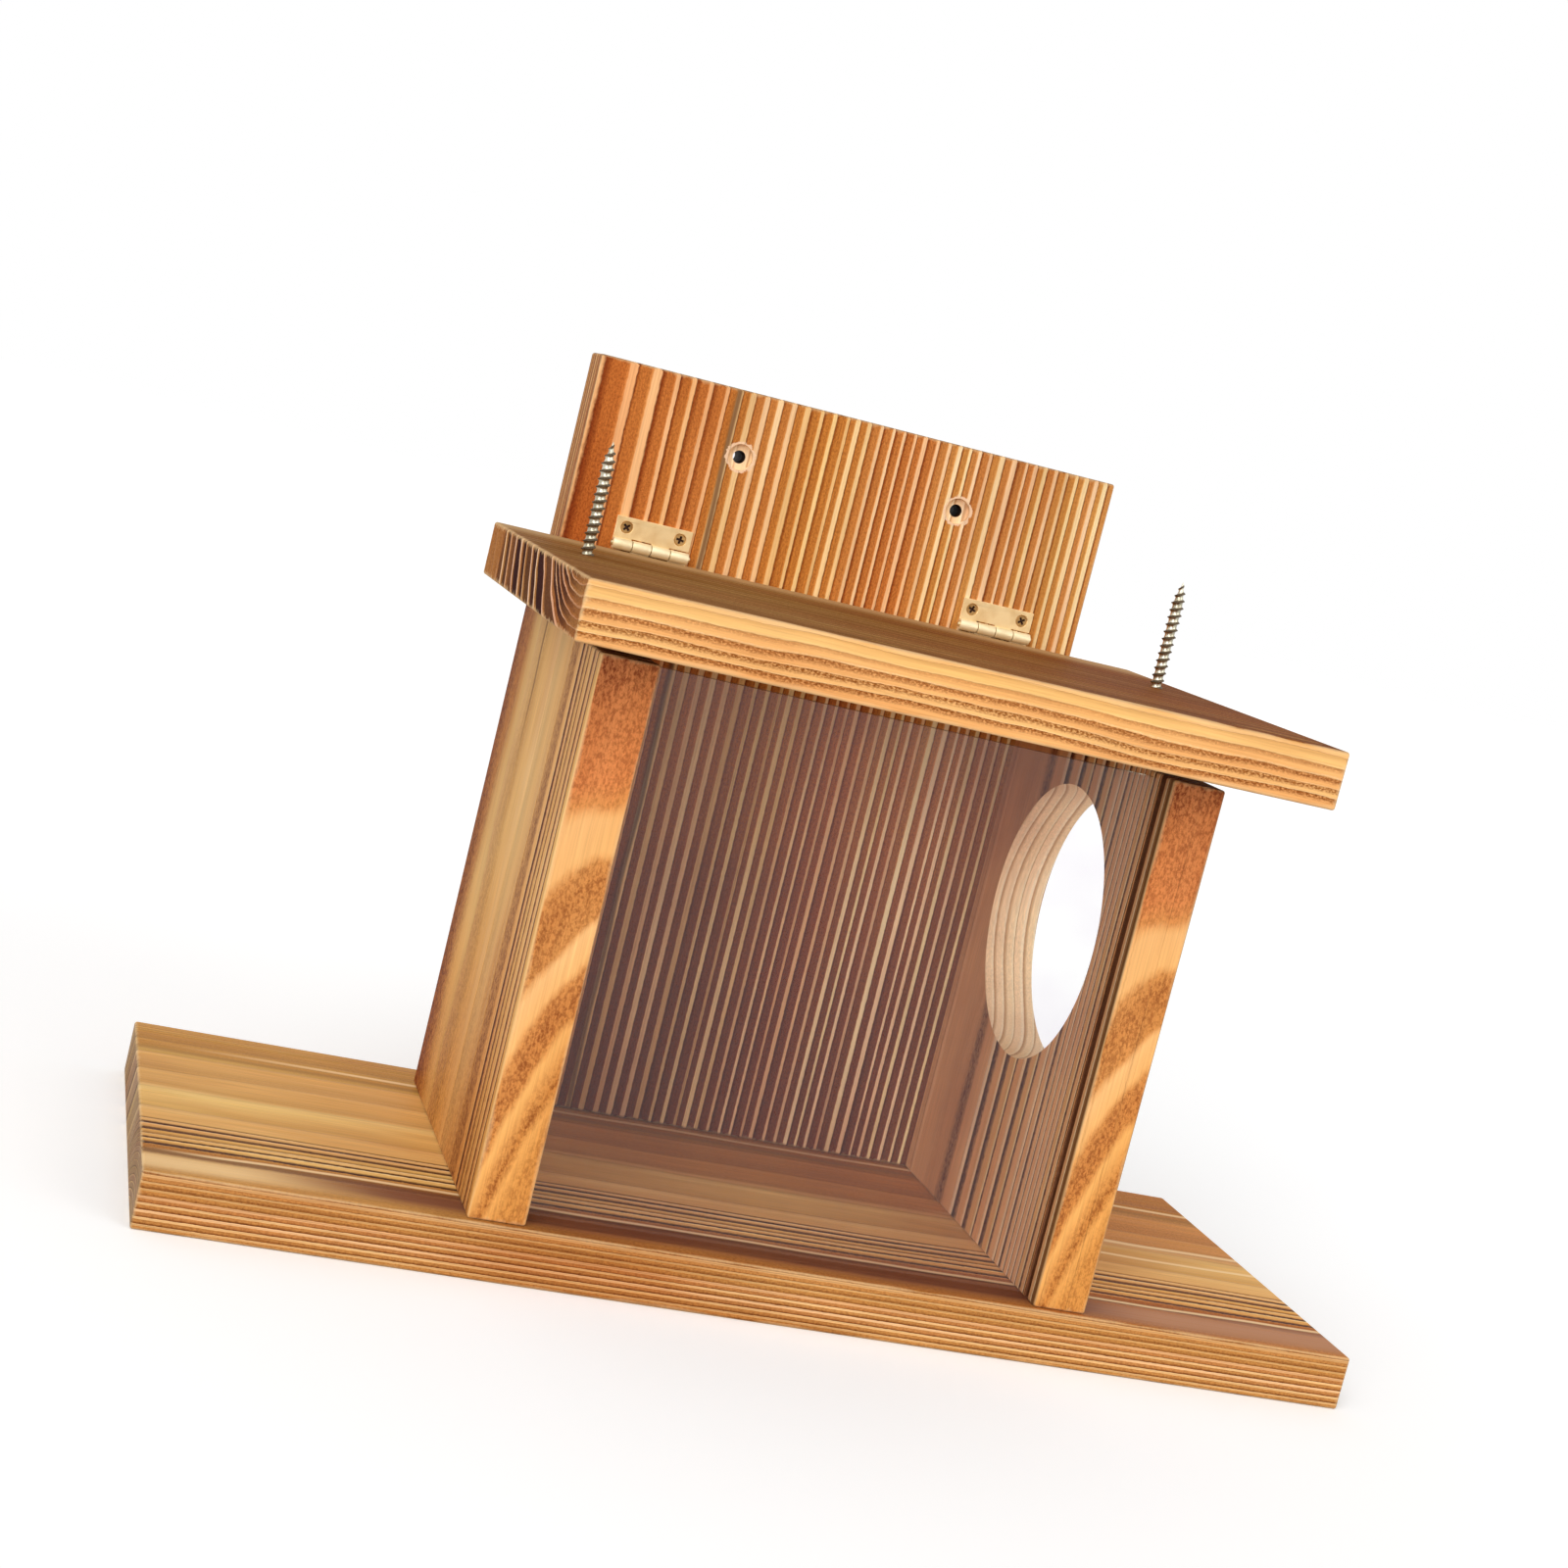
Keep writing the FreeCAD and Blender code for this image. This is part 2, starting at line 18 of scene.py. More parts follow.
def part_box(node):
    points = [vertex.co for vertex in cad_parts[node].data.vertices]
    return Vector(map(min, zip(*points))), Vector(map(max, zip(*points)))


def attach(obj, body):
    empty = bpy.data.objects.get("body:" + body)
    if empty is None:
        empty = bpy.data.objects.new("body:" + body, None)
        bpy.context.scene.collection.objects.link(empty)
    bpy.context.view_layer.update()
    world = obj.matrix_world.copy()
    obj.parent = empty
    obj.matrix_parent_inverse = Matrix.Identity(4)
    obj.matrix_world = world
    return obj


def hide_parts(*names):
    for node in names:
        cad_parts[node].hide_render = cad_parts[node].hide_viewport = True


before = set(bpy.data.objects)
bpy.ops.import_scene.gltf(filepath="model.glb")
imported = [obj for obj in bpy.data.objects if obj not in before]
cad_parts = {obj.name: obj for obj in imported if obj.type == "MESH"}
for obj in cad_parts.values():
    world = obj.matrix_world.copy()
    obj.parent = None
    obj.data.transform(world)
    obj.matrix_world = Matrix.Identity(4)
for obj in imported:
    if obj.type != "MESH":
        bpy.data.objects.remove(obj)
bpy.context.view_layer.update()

MM = 0.001
WHITE = (1.0, 1.0, 1.0, 1.0)
WELD_MM = 0.001
MERGE_MM = 0.002
HANDS = ("left", "right")
log = logging.getLogger("feeder_box")

Adder = Callable[..., bpy.types.Node]
Zones = tuple[tuple[float, str], ...]

# lower and upper end of what a Map Range node reads, by the numbers of its inputs
FACING = {1: 0.6, 2: 0.9}
MOST_NOISE = {1: 0.3, 2: 0.7}
WIDE_NOISE = {1: 0.25, 2: 0.75}


def linear(colour: str) -> tuple[float, float, float, float]:
    """Turn an sRGB hex colour into linear light.

    Args:
        colour: seven characters, such as #c08040.

    Returns:
        Red, green, blue and a full alpha.
    """
    shares = [int(colour[start:start + 2], 16) / 255 for start in (1, 3, 5)]
    curved = [share / 12.92 if share <= 0.04045 else ((share + 0.055) / 1.055) ** 2.4 for share in shares]
    return (curved[0], curved[1], curved[2], 1.0)


def add_node(
    tree: bpy.types.NodeTree,
    kind: str,
    inputs: Optional[dict[Any, Any]] = None,
    stops: Iterable[tuple[float, str]] = (),
    **settings: Any,
) -> bpy.types.Node:
    """Add one shader node with its settings and links.

    Args:
        tree: the material's or world's nodes.
        kind: the node's type without its ShaderNode prefix.
        inputs: a value, a socket or another node for each input, by its name or number.
        stops: places and hex colours of a colour ramp.
        settings: the node's own properties.

    Returns:
        The new node.
    """
    node = tree.nodes.new(f"ShaderNode{kind}")
    for name, value in settings.items():
        setattr(node, name, value)
    for key, value in (inputs or {}).items():
        if isinstance(value, bpy.types.Node):
            value = value.outputs[0]
        if isinstance(value, bpy.types.NodeSocket):
            tree.links.new(value, node.inputs[key])
        else:
            node.inputs[key].default_value = value
    for number, (place, colour) in enumerate(stops):
        elements = node.color_ramp.elements
        element = elements[number] if number < 2 else elements.new(place)
        element.position = place
        element.color = linear(colour)
    return node


def new_material(name: str) -> tuple[bpy.types.Material, Adder]:
    """Make a material with no nodes in it yet.

    Args:
        name: the material's name.

    Returns:
        The material, and add_node for its own nodes.
    """
    material = bpy.data.materials.new(name)
    material.use_nodes = True
    material.node_tree.nodes.clear()
    return material, partial(add_node, material.node_tree)


class Axis(Enum):
    """One of the frame's axes, by its number."""

    X = 0
    Y = 1
    Z = 2

    def scale(self, along: float, across: float) -> Vector:
        """Return one factor for this axis and another for the other two."""
        return Vector(along if number == self.value else across for number in range(3))


class Side(Enum):
    """One side of the object, by the way that it faces."""

    LEFT = (-1.0, 0.0, 0.0)
    RIGHT = (1.0, 0.0, 0.0)
    FRONT = (0.0, -1.0, 0.0)
    TOP = (0.0, 0.0, 1.0)


@dataclass(frozen=True)
class RingColours:
    """Colours across one growth ring, from its dark start to its pale late wood."""

    start: str
    band: str
    rise: str
    pale: str
    dark_hold: float = 0.0
    dark_to: float = 0.1
    pale_from: float = 0.78

    # the band's end and the rise, as shares of the way from dark to pale, and the pale wood's end
    BAND_TO = 0.7
    RISE_AT = 0.9
    PALE_TO = 0.94

    def stops(self) -> Zones:
        """Return the stops of a ramp over one ring."""
        span = self.pale_from - self.dark_to
        return (
            (0.0, self.start),
            (self.dark_hold, self.start),
            (self.dark_to, self.band),
            (self.dark_to + self.BAND_TO * span, self.band),
            (self.dark_to + self.RISE_AT * span, self.rise),
            (self.pale_from, self.pale),
            (self.PALE_TO, self.pale),
            (1.0, self.start),
        )


@dataclass(frozen=True)
class Years:
    """Lean years that crowd more rings into one stretch of the radius, or fat years with fewer."""

    from_mm: float
    to_mm: float
    more_rings: float


@dataclass(frozen=True)
class Calm:
    """Stretch of one face where the rings fade away, with a soft start and end."""

    face: Axis
    along: Axis
    low_mm: float
    high_mm: float
    soft_mm: float
    share: float


@dataclass(frozen=True)
class Flame:
    """Blotched figure where a narrow edge cuts the rings at a low angle.

    The blotches lie one above another along the grain, each tilted across the edge, and steeper
    near the foot.
    """

    face: Axis
    across: Axis
    steep_mm: float
    steep_slant: float
    level_mm: float
    level_slant: float
    wobble_mm: float
    wobble_length_mm: float
    blotches: Zones


@dataclass(frozen=True)
class Tone:
    """Broad zones of tone over one side of a board: some where the flame stayed longer or less long, others
    painted shade where less light falls.

    They can spare the hard pale ridges, which brown later than the soft bands between them.
    """

    side: Side
    along: Axis
    zones: Zones
    drift_mm: float = 0.0
    spare: float = 0.0


@dataclass(frozen=True)
class TornHoles:
    """Two counterbored holes whose drill has torn the burnt skin away round their rims."""

    apart_mm: float
    height_mm: float
    radius_mm: float
    depth_mm: float
    colour: str
    torn_mm: float = 1.1
    soft_mm: float = 0.3
    strength: float = 0.9


@dataclass(frozen=True)
class Streak:
    """Dark or pale line or band along the grain of a board, from its faint end to its full one."""

    face: Axis
    across: Axis
    place_mm: float
    width_mm: float
    strength: float
    faint_mm: float
    full_mm: float
    colour: str
    drift_mm: float = 6.0


@dataclass(frozen=True)
class FirFinish:
    """Fir, torched and then brushed.

    The flame browns the soft early wood and the brush wears it down, so the eye sees broad orange-brown
    bands between thin pale ridges of late wood, with burnt specks and paler worn corners.
    """

    name: str
    grain: Axis
    pith_mm: tuple[float, float, float]
    ring_mm: float
    faces: dict[Axis, RingColours]
    ring_gain: float = 0.0004
    years: tuple[Years, ...] = ()
    calms: tuple[Calm, ...] = ()
    wander_mm: tuple[float, float, float] = (1.0, 1.0, 1.0)
    wander_length_mm: float = 200.0
    wander_width_mm: float = 40.0
    uneven_mm: float = 4.0
    uneven_span_mm: float = 24.0
    faintest: float = 0.6
    redder: str = "#f8e2d4"
    yellower: str = "#f8f4d8"
    relief_mm: float = 0.35
    specks: float = 0.5
    speck_mm: float = 0.55
    rim: float = 0.5
    rim_mm: float = 0.9
    rim_colour: str = "#edc590"
    flame: Optional[Flame] = None
    tones: tuple[Tone, ...] = ()
    shine: float = 0.08
    holes: Optional[TornHoles] = None
    streaks: tuple[Streak, ...] = ()
    fray_mm: float = 0.06
    fray_size_mm: float = 0.8
    stipple: float = 0.0
    stipple_mm: float = 0.5
    fibre_mm: float = 0.5
    fibre_length_mm: float = 26.0
    patch_mm: float = 45.0

    def material(self, low: Vector, high: Vector) -> bpy.types.Material:
        """Build the material of a board between two corners, in metres."""
        return FirMaterial(self, low, high).build()


class FirMaterial:
    """A board's material in the making, where each step lays one more layer over the colour so far."""

    # marks that are alike on every board: their length along the grain and width across it, or one size
    TONE_DRIFT_MM = (166.667, 50.0)
    STREAK_DRIFT_MM = (83.333, 50.0)
    CHIP_MM = (16.667, 2.0)
    TEAR_MM = 1.42857

    # how many times longer than wide the other marks are
    FRAY_STRETCH = 2.5
    DOT_STRETCH = 1.66667
    PATCH_STRETCH = 4.0

    # ends of what a Map Range node reads, by its inputs 1 and 2, or of what it gives, by 3 and 4
    RING_BEND = {3: 0.7, 4: 1.7}
    FAINT_YEARS = {1: 0.35}
    DOTS = {1: 0.4, 2: 0.64}
    SPECKS = {1: 0.44, 2: 0.6}
    FIBRE_TONE = {3: 0.84, 4: 1.12}
    ROUGHNESS = {3: 0.5, 4: 0.68}

    # shares of a corner's worn width, of a streak's half width at full strength, and of the ridges' height
    LEAST_WORN = 0.2
    MOST_WORN = 1.8
    STREAK_CORE = 0.2
    FIBRE_RELIEF = 0.5

    # brightness between the dark early wood and the pale ridges
    DEEPEST = 0.24
    MIDDLING = 0.46
    RIDGE = 0.72

    PLAIN_YEAR = "#fffaf4"
    BURNT_SPECK = "#8a4a1e"
    PATCHES = ((0.28, "#dcbb9c"), (0.5, "#fffaf2"), (0.72, "#fff3dc"))
    RELIEF = ((0.0, "#202020"), (0.2, "#606060"), (0.7, "#909090"), (0.82, "#ffffff"), (0.94, "#ffffff"),
              (1.0, "#202020"))

    def __init__(self, finish: FirFinish, low: Vector, high: Vector) -> None:
        """Start the material with its coordinates and its growth rings.

        Args:
            finish: what the board looks like.
            low: the board's lowest corner, in metres.
            high: the board's highest corner, in metres.
        """
        self.finish = finish
        self.middle_mm = (low + high) / 2 / MM
        self.half_mm = (high - low) / 2 / MM
        self.made, self.add = new_material(finish.name)
        source = self.add("TexCoord").outputs
        self.normal = source["Normal"]
        self.facing = self.add("SeparateXYZ", {0: self.normal}).outputs
        self.place = self.add("VectorMath", {0: source["Object"], "Scale": 1 / MM}, operation="SCALE")
        self.spot = self.add("SeparateXYZ", {0: self.place}).outputs
        self.share, self.character = self._ring_share()
        self.colour = self._ring_colour()

    def build(self) -> bpy.types.Material:
        """Lay every layer in order.

        Returns:
            The finished material.
        """
        if self.finish.flame:
            self._flame(self.finish.flame)
        for tone in self.finish.tones:
            self._tone(tone)
        self._weathering()
        self._rims()
        for streak in self.finish.streaks:
            self._streak(streak)
        if self.finish.holes:
            self._torn_rims(self.finish.holes)
        self._surface()
        return self.made

    def _marks(
        self, length_mm: float, width_mm: float, detail: float, roughness: float = 0.5, place: Any = None
    ) -> bpy.types.Node:
        """Add random marks that are drawn out along the grain.

        Args:
            length_mm: their length along the grain.
            width_mm: their width across it.
            detail: how many finer sizes are mixed in.
            roughness: how strong the finer sizes are.
            place: the point, in millimetres, if it isn't the board's own.

        Returns:
            The node that gives them.
        """
        stretch = self.finish.grain.scale(1 / length_mm, 1 / width_mm)
        start = self.place if place is None else place
        spread = self.add("VectorMath", {0: start, 1: stretch}, operation="MULTIPLY")
        noise = {"Vector": spread, "Scale": 1.0, "Detail": detail, "Roughness": roughness}
        return self.add("TexNoise", noise)

    def _zones(self, height: Any, zones: Zones, shift_mm: float) -> bpy.types.Node:
        """Colour points by their place on a scale of zones.

        Args:
            height: each point's place on the scale, in millimetres.
            zones: places on the scale and their hex colours, in order.
            shift_mm: how far the points lie beyond the scale on average.

        Returns:
            The node that gives the colour.
        """
        low, high = zones[0][0], zones[-1][0]
        share = self.add("MapRange", {0: height, 1: low + shift_mm, 2: high + shift_mm})
        stops = [((place - low) / (high - low), shade) for place, shade in zones]
        return self.add("ValToRGB", {0: share}, stops=stops)

    def _ring_share(self) -> tuple[Any, Any]:
        """Work out how far through its growth ring each point lies.

        Returns:
            The share of the ring, from 0 to 1, and the ring's own random colour.
        """
        add, finish = self.add, self.finish
        wander = self._marks(finish.wander_length_mm, finish.wander_width_mm, 2.5).outputs["Color"]
        centred = add("VectorMath", {0: wander, 1: (0.5, 0.5, 0.5)}, operation="SUBTRACT")
        drift = add("VectorMath", {0: centred, 1: 2 * Vector(finish.wander_mm)}, operation="MULTIPLY")
        wandered = add("VectorMath", {0: self.place, 1: drift}, operation="ADD")
        from_pith = add("VectorMath", {0: wandered, 1: finish.pith_mm}, operation="SUBTRACT")
        flat = add("VectorMath", {0: from_pith, 1: finish.grain.scale(0.0, 1.0)}, operation="MULTIPLY")
        radius = add("VectorMath", {0: flat}, operation="LENGTH").outputs["Value"]
        age = add("Math", {0: radius, 1: finish.uneven_span_mm}, operation="DIVIDE")
        growth = add("TexNoise", {"W": age, "Scale": 1.0, "Detail": 1.0}, noise_dimensions="1D")
        uneven = add("Math", {0: growth, 1: finish.uneven_mm, 2: radius}, operation="MULTIPLY_ADD")
        frayed = self._marks(self.FRAY_STRETCH * finish.fray_size_mm, finish.fray_size_mm, 2.0)
        fray = add("MapRange", {0: frayed, **WIDE_NOISE, 3: -finish.fray_mm, 4: finish.fray_mm})
        uneven = add("Math", {0: uneven, 1: fray}, operation="ADD")
        spacing = add("Math", {0: uneven, 1: finish.ring_gain, 2: finish.ring_mm}, operation="MULTIPLY_ADD")
        grown = add("Math", {0: spacing, 1: math.e}, operation="LOGARITHM")
        rings = add("Math", {0: grown, 1: finish.ring_gain}, operation="DIVIDE")
        for years in finish.years:
            extra = add("MapRange", {0: uneven, 1: years.from_mm, 2: years.to_mm, 4: years.more_rings})
            rings = add("Math", {0: rings, 1: extra}, operation="ADD")
        number = add("Math", {0: rings}, operation="FLOOR")
        character = add("TexWhiteNoise", {"W": number}, noise_dimensions="1D").outputs
        share = add("Math", {0: rings}, operation="FRACT")
        bend = add("MapRange", {0: character["Value"], **self.RING_BEND})
        share = add("Math", {0: share, 1: bend}, operation="POWER")
        return share, character["Color"]

    def _ring_colour(self) -> bpy.types.Node:
        """Colour the rings by the face that cuts them.

        Returns:
            The node that gives the colour.
        """
        add, finish = self.add, self.finish
        squares = add("VectorMath", {0: self.normal, 1: self.normal}, operation="MULTIPLY")
        weights = add("SeparateXYZ", {0: squares}).outputs
        random = add("SeparateXYZ", {0: self.character}).outputs
        faint = add("MapRange", {0: random[1], **self.FAINT_YEARS, 4: finish.faintest})
        dots = self._marks(self.DOT_STRETCH * finish.stipple_mm, finish.stipple_mm, 2.0)
        gaps = add("MapRange", {0: dots, **self.DOTS, 4: finish.stipple})
        long_grain = add("Math", {0: 1.0, 1: weights[finish.grain.value]}, operation="SUBTRACT")
        gaps = add("Math", {0: gaps, 1: long_grain}, operation="MULTIPLY")
        faint = add("Math", {0: faint, 1: gaps}, operation="MAXIMUM")
        for calm in finish.calms:
            spot = self.spot[calm.along.value]
            quiet = weights[calm.face.value]
            for soft_end, end, share in (
                (calm.low_mm - calm.soft_mm, calm.low_mm, calm.share),
                (calm.high_mm + calm.soft_mm, calm.high_mm, 1.0),
            ):
                inside = add(
                    "MapRange", {0: spot, 1: soft_end, 2: end, 4: share}, interpolation_type="SMOOTHSTEP"
                )
                quiet = add("Math", {0: quiet, 1: inside}, operation="MULTIPLY")
            faint = add("Math", {0: faint, 1: quiet}, operation="MAXIMUM")
        colour = None
        for axis, colours in finish.faces.items():
            ramp = add("ValToRGB", {0: self.share}, stops=colours.stops())
            face = add("MixRGB", {0: faint, 1: ramp, 2: linear(colours.band)})
            if colour is None:
                colour = face
            else:
                colour = add("MixRGB", {0: weights[axis.value], 1: colour, 2: face})
        # one summer's wood burns redder and the next one's more golden
        summers = ((0.0, finish.redder), (0.5, self.PLAIN_YEAR), (1.0, finish.yellower))
        burn = add("ValToRGB", {0: random[2]}, stops=summers)
        return add("MixRGB", {0: 1.0, 1: colour, 2: burn}, blend_type="MULTIPLY")

    def _flame(self, flame: Flame) -> None:
        """Lay the flame figure over the face that has one.

        Args:
            flame: the figure.
        """
        add = self.add
        across = flame.across.value
        shift = flame.across.scale(self.middle_mm[across], 0.0)
        local = add("VectorMath", {0: self.place, 1: shift}, operation="SUBTRACT")
        aside = add("SeparateXYZ", {0: local}).outputs[across]
        up = self.spot[self.finish.grain.value]
        wobble = self._marks(flame.wobble_length_mm, flame.wobble_length_mm / 2, 7.0, 0.7, local)
        wobbled = add("Math", {0: wobble, 1: 2 * flame.wobble_mm, 2: up}, operation="MULTIPLY_ADD")
        slants = {3: -flame.steep_slant, 4: -flame.level_slant}
        slant = add("MapRange", {0: up, 1: flame.steep_mm, 2: flame.level_mm, **slants})
        leaned = add("Math", {0: aside, 1: slant, 2: wobbled}, operation="MULTIPLY_ADD")
        figure = self._zones(leaned, flame.blotches, flame.wobble_mm)
        facing = add("Math", {0: self.facing[flame.face.value]}, operation="ABSOLUTE")
        weight = add("MapRange", {0: facing, **FACING})
        self.colour = add("MixRGB", {0: weight, 1: self.colour, 2: figure})

    def _tone(self, tone: Tone) -> None:
        """Brown one side of the board in broad zones, some of which are painted shade.

        Args:
            tone: the zones.
        """
        add = self.add
        along = self.spot[tone.along.value]
        wander = self._marks(*self.TONE_DRIFT_MM, 3.0)
        drifted = add("Math", {0: wander, 1: 2 * tone.drift_mm, 2: along}, operation="MULTIPLY_ADD")
        shade = self._zones(drifted, tone.zones, tone.drift_mm)
        facing = add("VectorMath", {0: self.normal, 1: tone.side.value}, operation="DOT_PRODUCT")
        side = add("MapRange", {0: facing.outputs["Value"], **FACING})
        value = add("RGBToBW", {0: self.colour})
        soft = add("MapRange", {0: value, 1: self.MIDDLING, 2: self.RIDGE, 3: 1.0, 4: 1.0 - tone.spare})
        amount = add("Math", {0: side, 1: soft}, operation="MULTIPLY")
        self.colour = add("MixRGB", {0: amount, 1: self.colour, 2: shade}, blend_type="MULTIPLY")

    def _weathering(self) -> None:
        """Add fibres, burnt specks and broad patches of tone."""
        add, finish = self.add, self.finish
        fibres = self._marks(finish.fibre_length_mm, finish.fibre_mm, 2.0)
        fibre_tone = add("MapRange", {0: fibres, **WIDE_NOISE, **self.FIBRE_TONE})
        patches = self._marks(self.PATCH_STRETCH * finish.patch_mm, finish.patch_mm, 3.0)
        patch_tone = add("ValToRGB", {0: patches}, stops=self.PATCHES)
        specks = self._marks(self.DOT_STRETCH * finish.speck_mm, finish.speck_mm, 5.0, 0.7)
        # the flame pits the dark early wood and leaves the hard pale ridges clean
        value = add("RGBToBW", {0: self.colour})
        pitted = add("MapRange", {0: value, 1: self.MIDDLING, 2: self.DEEPEST, 4: finish.specks})
        speck_tone = add("MapRange", {0: specks, **self.SPECKS, 4: pitted})
        toned = add("MixRGB", {0: 1.0, 1: self.colour, 2: patch_tone}, blend_type="MULTIPLY")
        fibred = add("VectorMath", {0: toned, "Scale": fibre_tone}, operation="SCALE")
        burnt = linear(self.BURNT_SPECK)
        self.colour = add("MixRGB", {0: speck_tone, 1: fibred, 2: burnt}, blend_type="MULTIPLY")

    def _rims(self) -> None:
        """Wear the board's corners to a paler wood."""
        add, finish = self.add, self.finish
        centred = add("VectorMath", {0: self.place, 1: self.middle_mm}, operation="SUBTRACT")
        size = add("VectorMath", {0: centred}, operation="ABSOLUTE")
        inside = add("VectorMath", {0: self.half_mm, 1: size}, operation="SUBTRACT")
        # an edge is as near as the second nearest of the three pairs of faces
        x, y, z = add("SeparateXYZ", {0: inside}).outputs
        lesser = add("Math", {0: x, 1: y}, operation="MINIMUM")
        greater = add("Math", {0: x, 1: y}, operation="MAXIMUM")
        capped = add("Math", {0: greater, 1: z}, operation="MINIMUM")
        to_edge = add("Math", {0: lesser, 1: capped}, operation="MAXIMUM")
        chips = self._marks(*self.CHIP_MM, 3.0)
        widths = {3: self.LEAST_WORN * finish.rim_mm, 4: self.MOST_WORN * finish.rim_mm}
        reach = add("MapRange", {0: chips, **MOST_NOISE, **widths})
        worn = add("MapRange", {0: to_edge, 2: reach, 3: finish.rim, 4: 0.0})
        self.colour = add("MixRGB", {0: worn, 1: self.colour, 2: linear(finish.rim_colour)})

    def _streak(self, streak: Streak) -> None:
        """Draw one line or band along the grain.

        Args:
            streak: where it lies and how strong it is.
        """
        add, drift_mm, width_mm = self.add, streak.drift_mm, streak.width_mm
        across = self.spot[streak.across.value]
        along = self.spot[self.finish.grain.value]
        wander = self._marks(*self.STREAK_DRIFT_MM, 2.0)
        drift = add("Math", {0: wander, 1: drift_mm, 2: across}, operation="MULTIPLY_ADD")
        off = add("Math", {0: drift, 1: streak.place_mm + drift_mm / 2}, operation="SUBTRACT")
        away = add("Math", {0: off}, operation="ABSOLUTE")
        mask = add("Math", {0: self.facing[streak.face.value]}, operation="ABSOLUTE")
        for reads in (
            {0: away, 1: self.STREAK_CORE * width_mm, 2: width_mm, 3: streak.strength, 4: 0.0},
            {0: along, 1: streak.faint_mm, 2: streak.full_mm},
        ):
            part = add("MapRange", reads, interpolation_type="SMOOTHSTEP")
            mask = add("Math", {0: mask, 1: part}, operation="MULTIPLY")
        self.colour = add("MixRGB", {0: mask, 1: self.colour, 2: linear(streak.colour)})

    def _torn_rims(self, holes: TornHoles) -> None:
        """Show pale torn wood round two holes.

        Args:
            holes: the holes.
        """
        add = self.add
        middle = (holes.apart_mm / 2, 0.0, holes.height_mm)
        folded = add("VectorMath", {0: self.place}, operation="ABSOLUTE")
        local = add("VectorMath", {0: folded, 1: middle}, operation="SUBTRACT")
        flat = add("VectorMath", {0: local, 1: Axis.Y.scale(0.0, 1.0)}, operation="MULTIPLY")
        away = add("VectorMath", {0: flat}, operation="LENGTH").outputs["Value"]
        noise = add("TexNoise", {"Vector": self.place, "Scale": 1 / self.TEAR_MM, "Detail": 3.0})
        outer_mm = holes.radius_mm + holes.torn_mm
        reach = add("MapRange", {0: noise, **MOST_NOISE, 3: holes.radius_mm, 4: outer_mm})
        soft = add("Math", {0: reach, 1: holes.soft_mm}, operation="ADD")
        mask = add("MapRange", {0: away, 1: reach, 2: soft, 3: holes.strength, 4: 0.0})
        self.colour = add("MixRGB", {0: mask, 1: self.colour, 2: linear(holes.colour)})

    def _surface(self) -> None:
        """Finish the material with its gloss and the brushed relief."""
        add, finish = self.add, self.finish
        height = add("ValToRGB", {0: self.share}, stops=self.RELIEF)
        fibres = self._marks(2 * finish.fibre_length_mm, finish.fibre_mm / 0.7, 3.0)
        brushed = add("Math", {0: fibres, 1: self.FIBRE_RELIEF, 2: height}, operation="MULTIPLY_ADD")
        bump = add("Bump", {"Strength": 0.8, "Distance": finish.relief_mm * MM, "Height": brushed})
        gloss = add("MapRange", {0: fibres, **MOST_NOISE, **self.ROUGHNESS})
        shader = add("BsdfPrincipled", {
            "Base Color": self.colour, "Roughness": gloss, "Normal": bump, "Specular IOR Level": finish.shine,
        })
        add("OutputMaterial", {"Surface": shader})


@dataclass(frozen=True)
class AcrylicFinish:
    """Clear cast acrylic sheet, faintly smoked.

    It is flat and thin, so light goes straight through with a slight violet loss, and the white room
    lies over it as a thin veil.
    """

    name: str = "smoked_clear_acrylic"
    tint: str = "#ffffff"
    smear: str = "#faf8fb"
    ior: float = 1.42
    roughness: float = 0.02
    smeared_roughness: float = 0.08
    smear_mm: float = 30.0
    ripple_mm: float = 0.02

    SMEARED = {1: 0.4, 2: 0.7}
    MIRROR_POWER = 5.0

    def material(self) -> bpy.types.Material:
        """Build the sheet's material.

        Returns:
            The finished material.
        """
        material, add = new_material(self.name)
        place = add("TexCoord").outputs["Object"]
        smears = add("TexNoise", {"Vector": place, "Scale": 1 / (self.smear_mm * MM), "Detail": 3.0})
        mask = add("MapRange", {0: smears, **self.SMEARED})
        tint = add("MixRGB", {0: mask, 1: linear(self.tint), 2: linear(self.smear)})
        dull = add("MapRange", {0: mask, 3: self.roughness, 4: self.smeared_roughness})
        ripple = add("Bump", {"Strength": 0.2, "Distance": self.ripple_mm * MM, "Height": smears})
        through = add("BsdfTransparent", {"Color": tint})
        gloss = add("BsdfGlossy", {"Color": WHITE, "Roughness": dull, "Normal": ripple})
        # the same from both of the sheet's faces, so that a slanting look goes through as well
        tilt = add("LayerWeight", {"Blend": 0.5}).outputs["Facing"]
        steep = add("Math", {0: tilt, 1: self.MIRROR_POWER}, operation="POWER")
        straight_on = ((self.ior - 1) / (self.ior + 1)) ** 2
        mirror = add("MapRange", {0: steep, 3: straight_on})
        mixed = add("MixShader", {0: mirror, 1: through, 2: gloss})
        add("OutputMaterial", {"Surface": mixed})
        return material


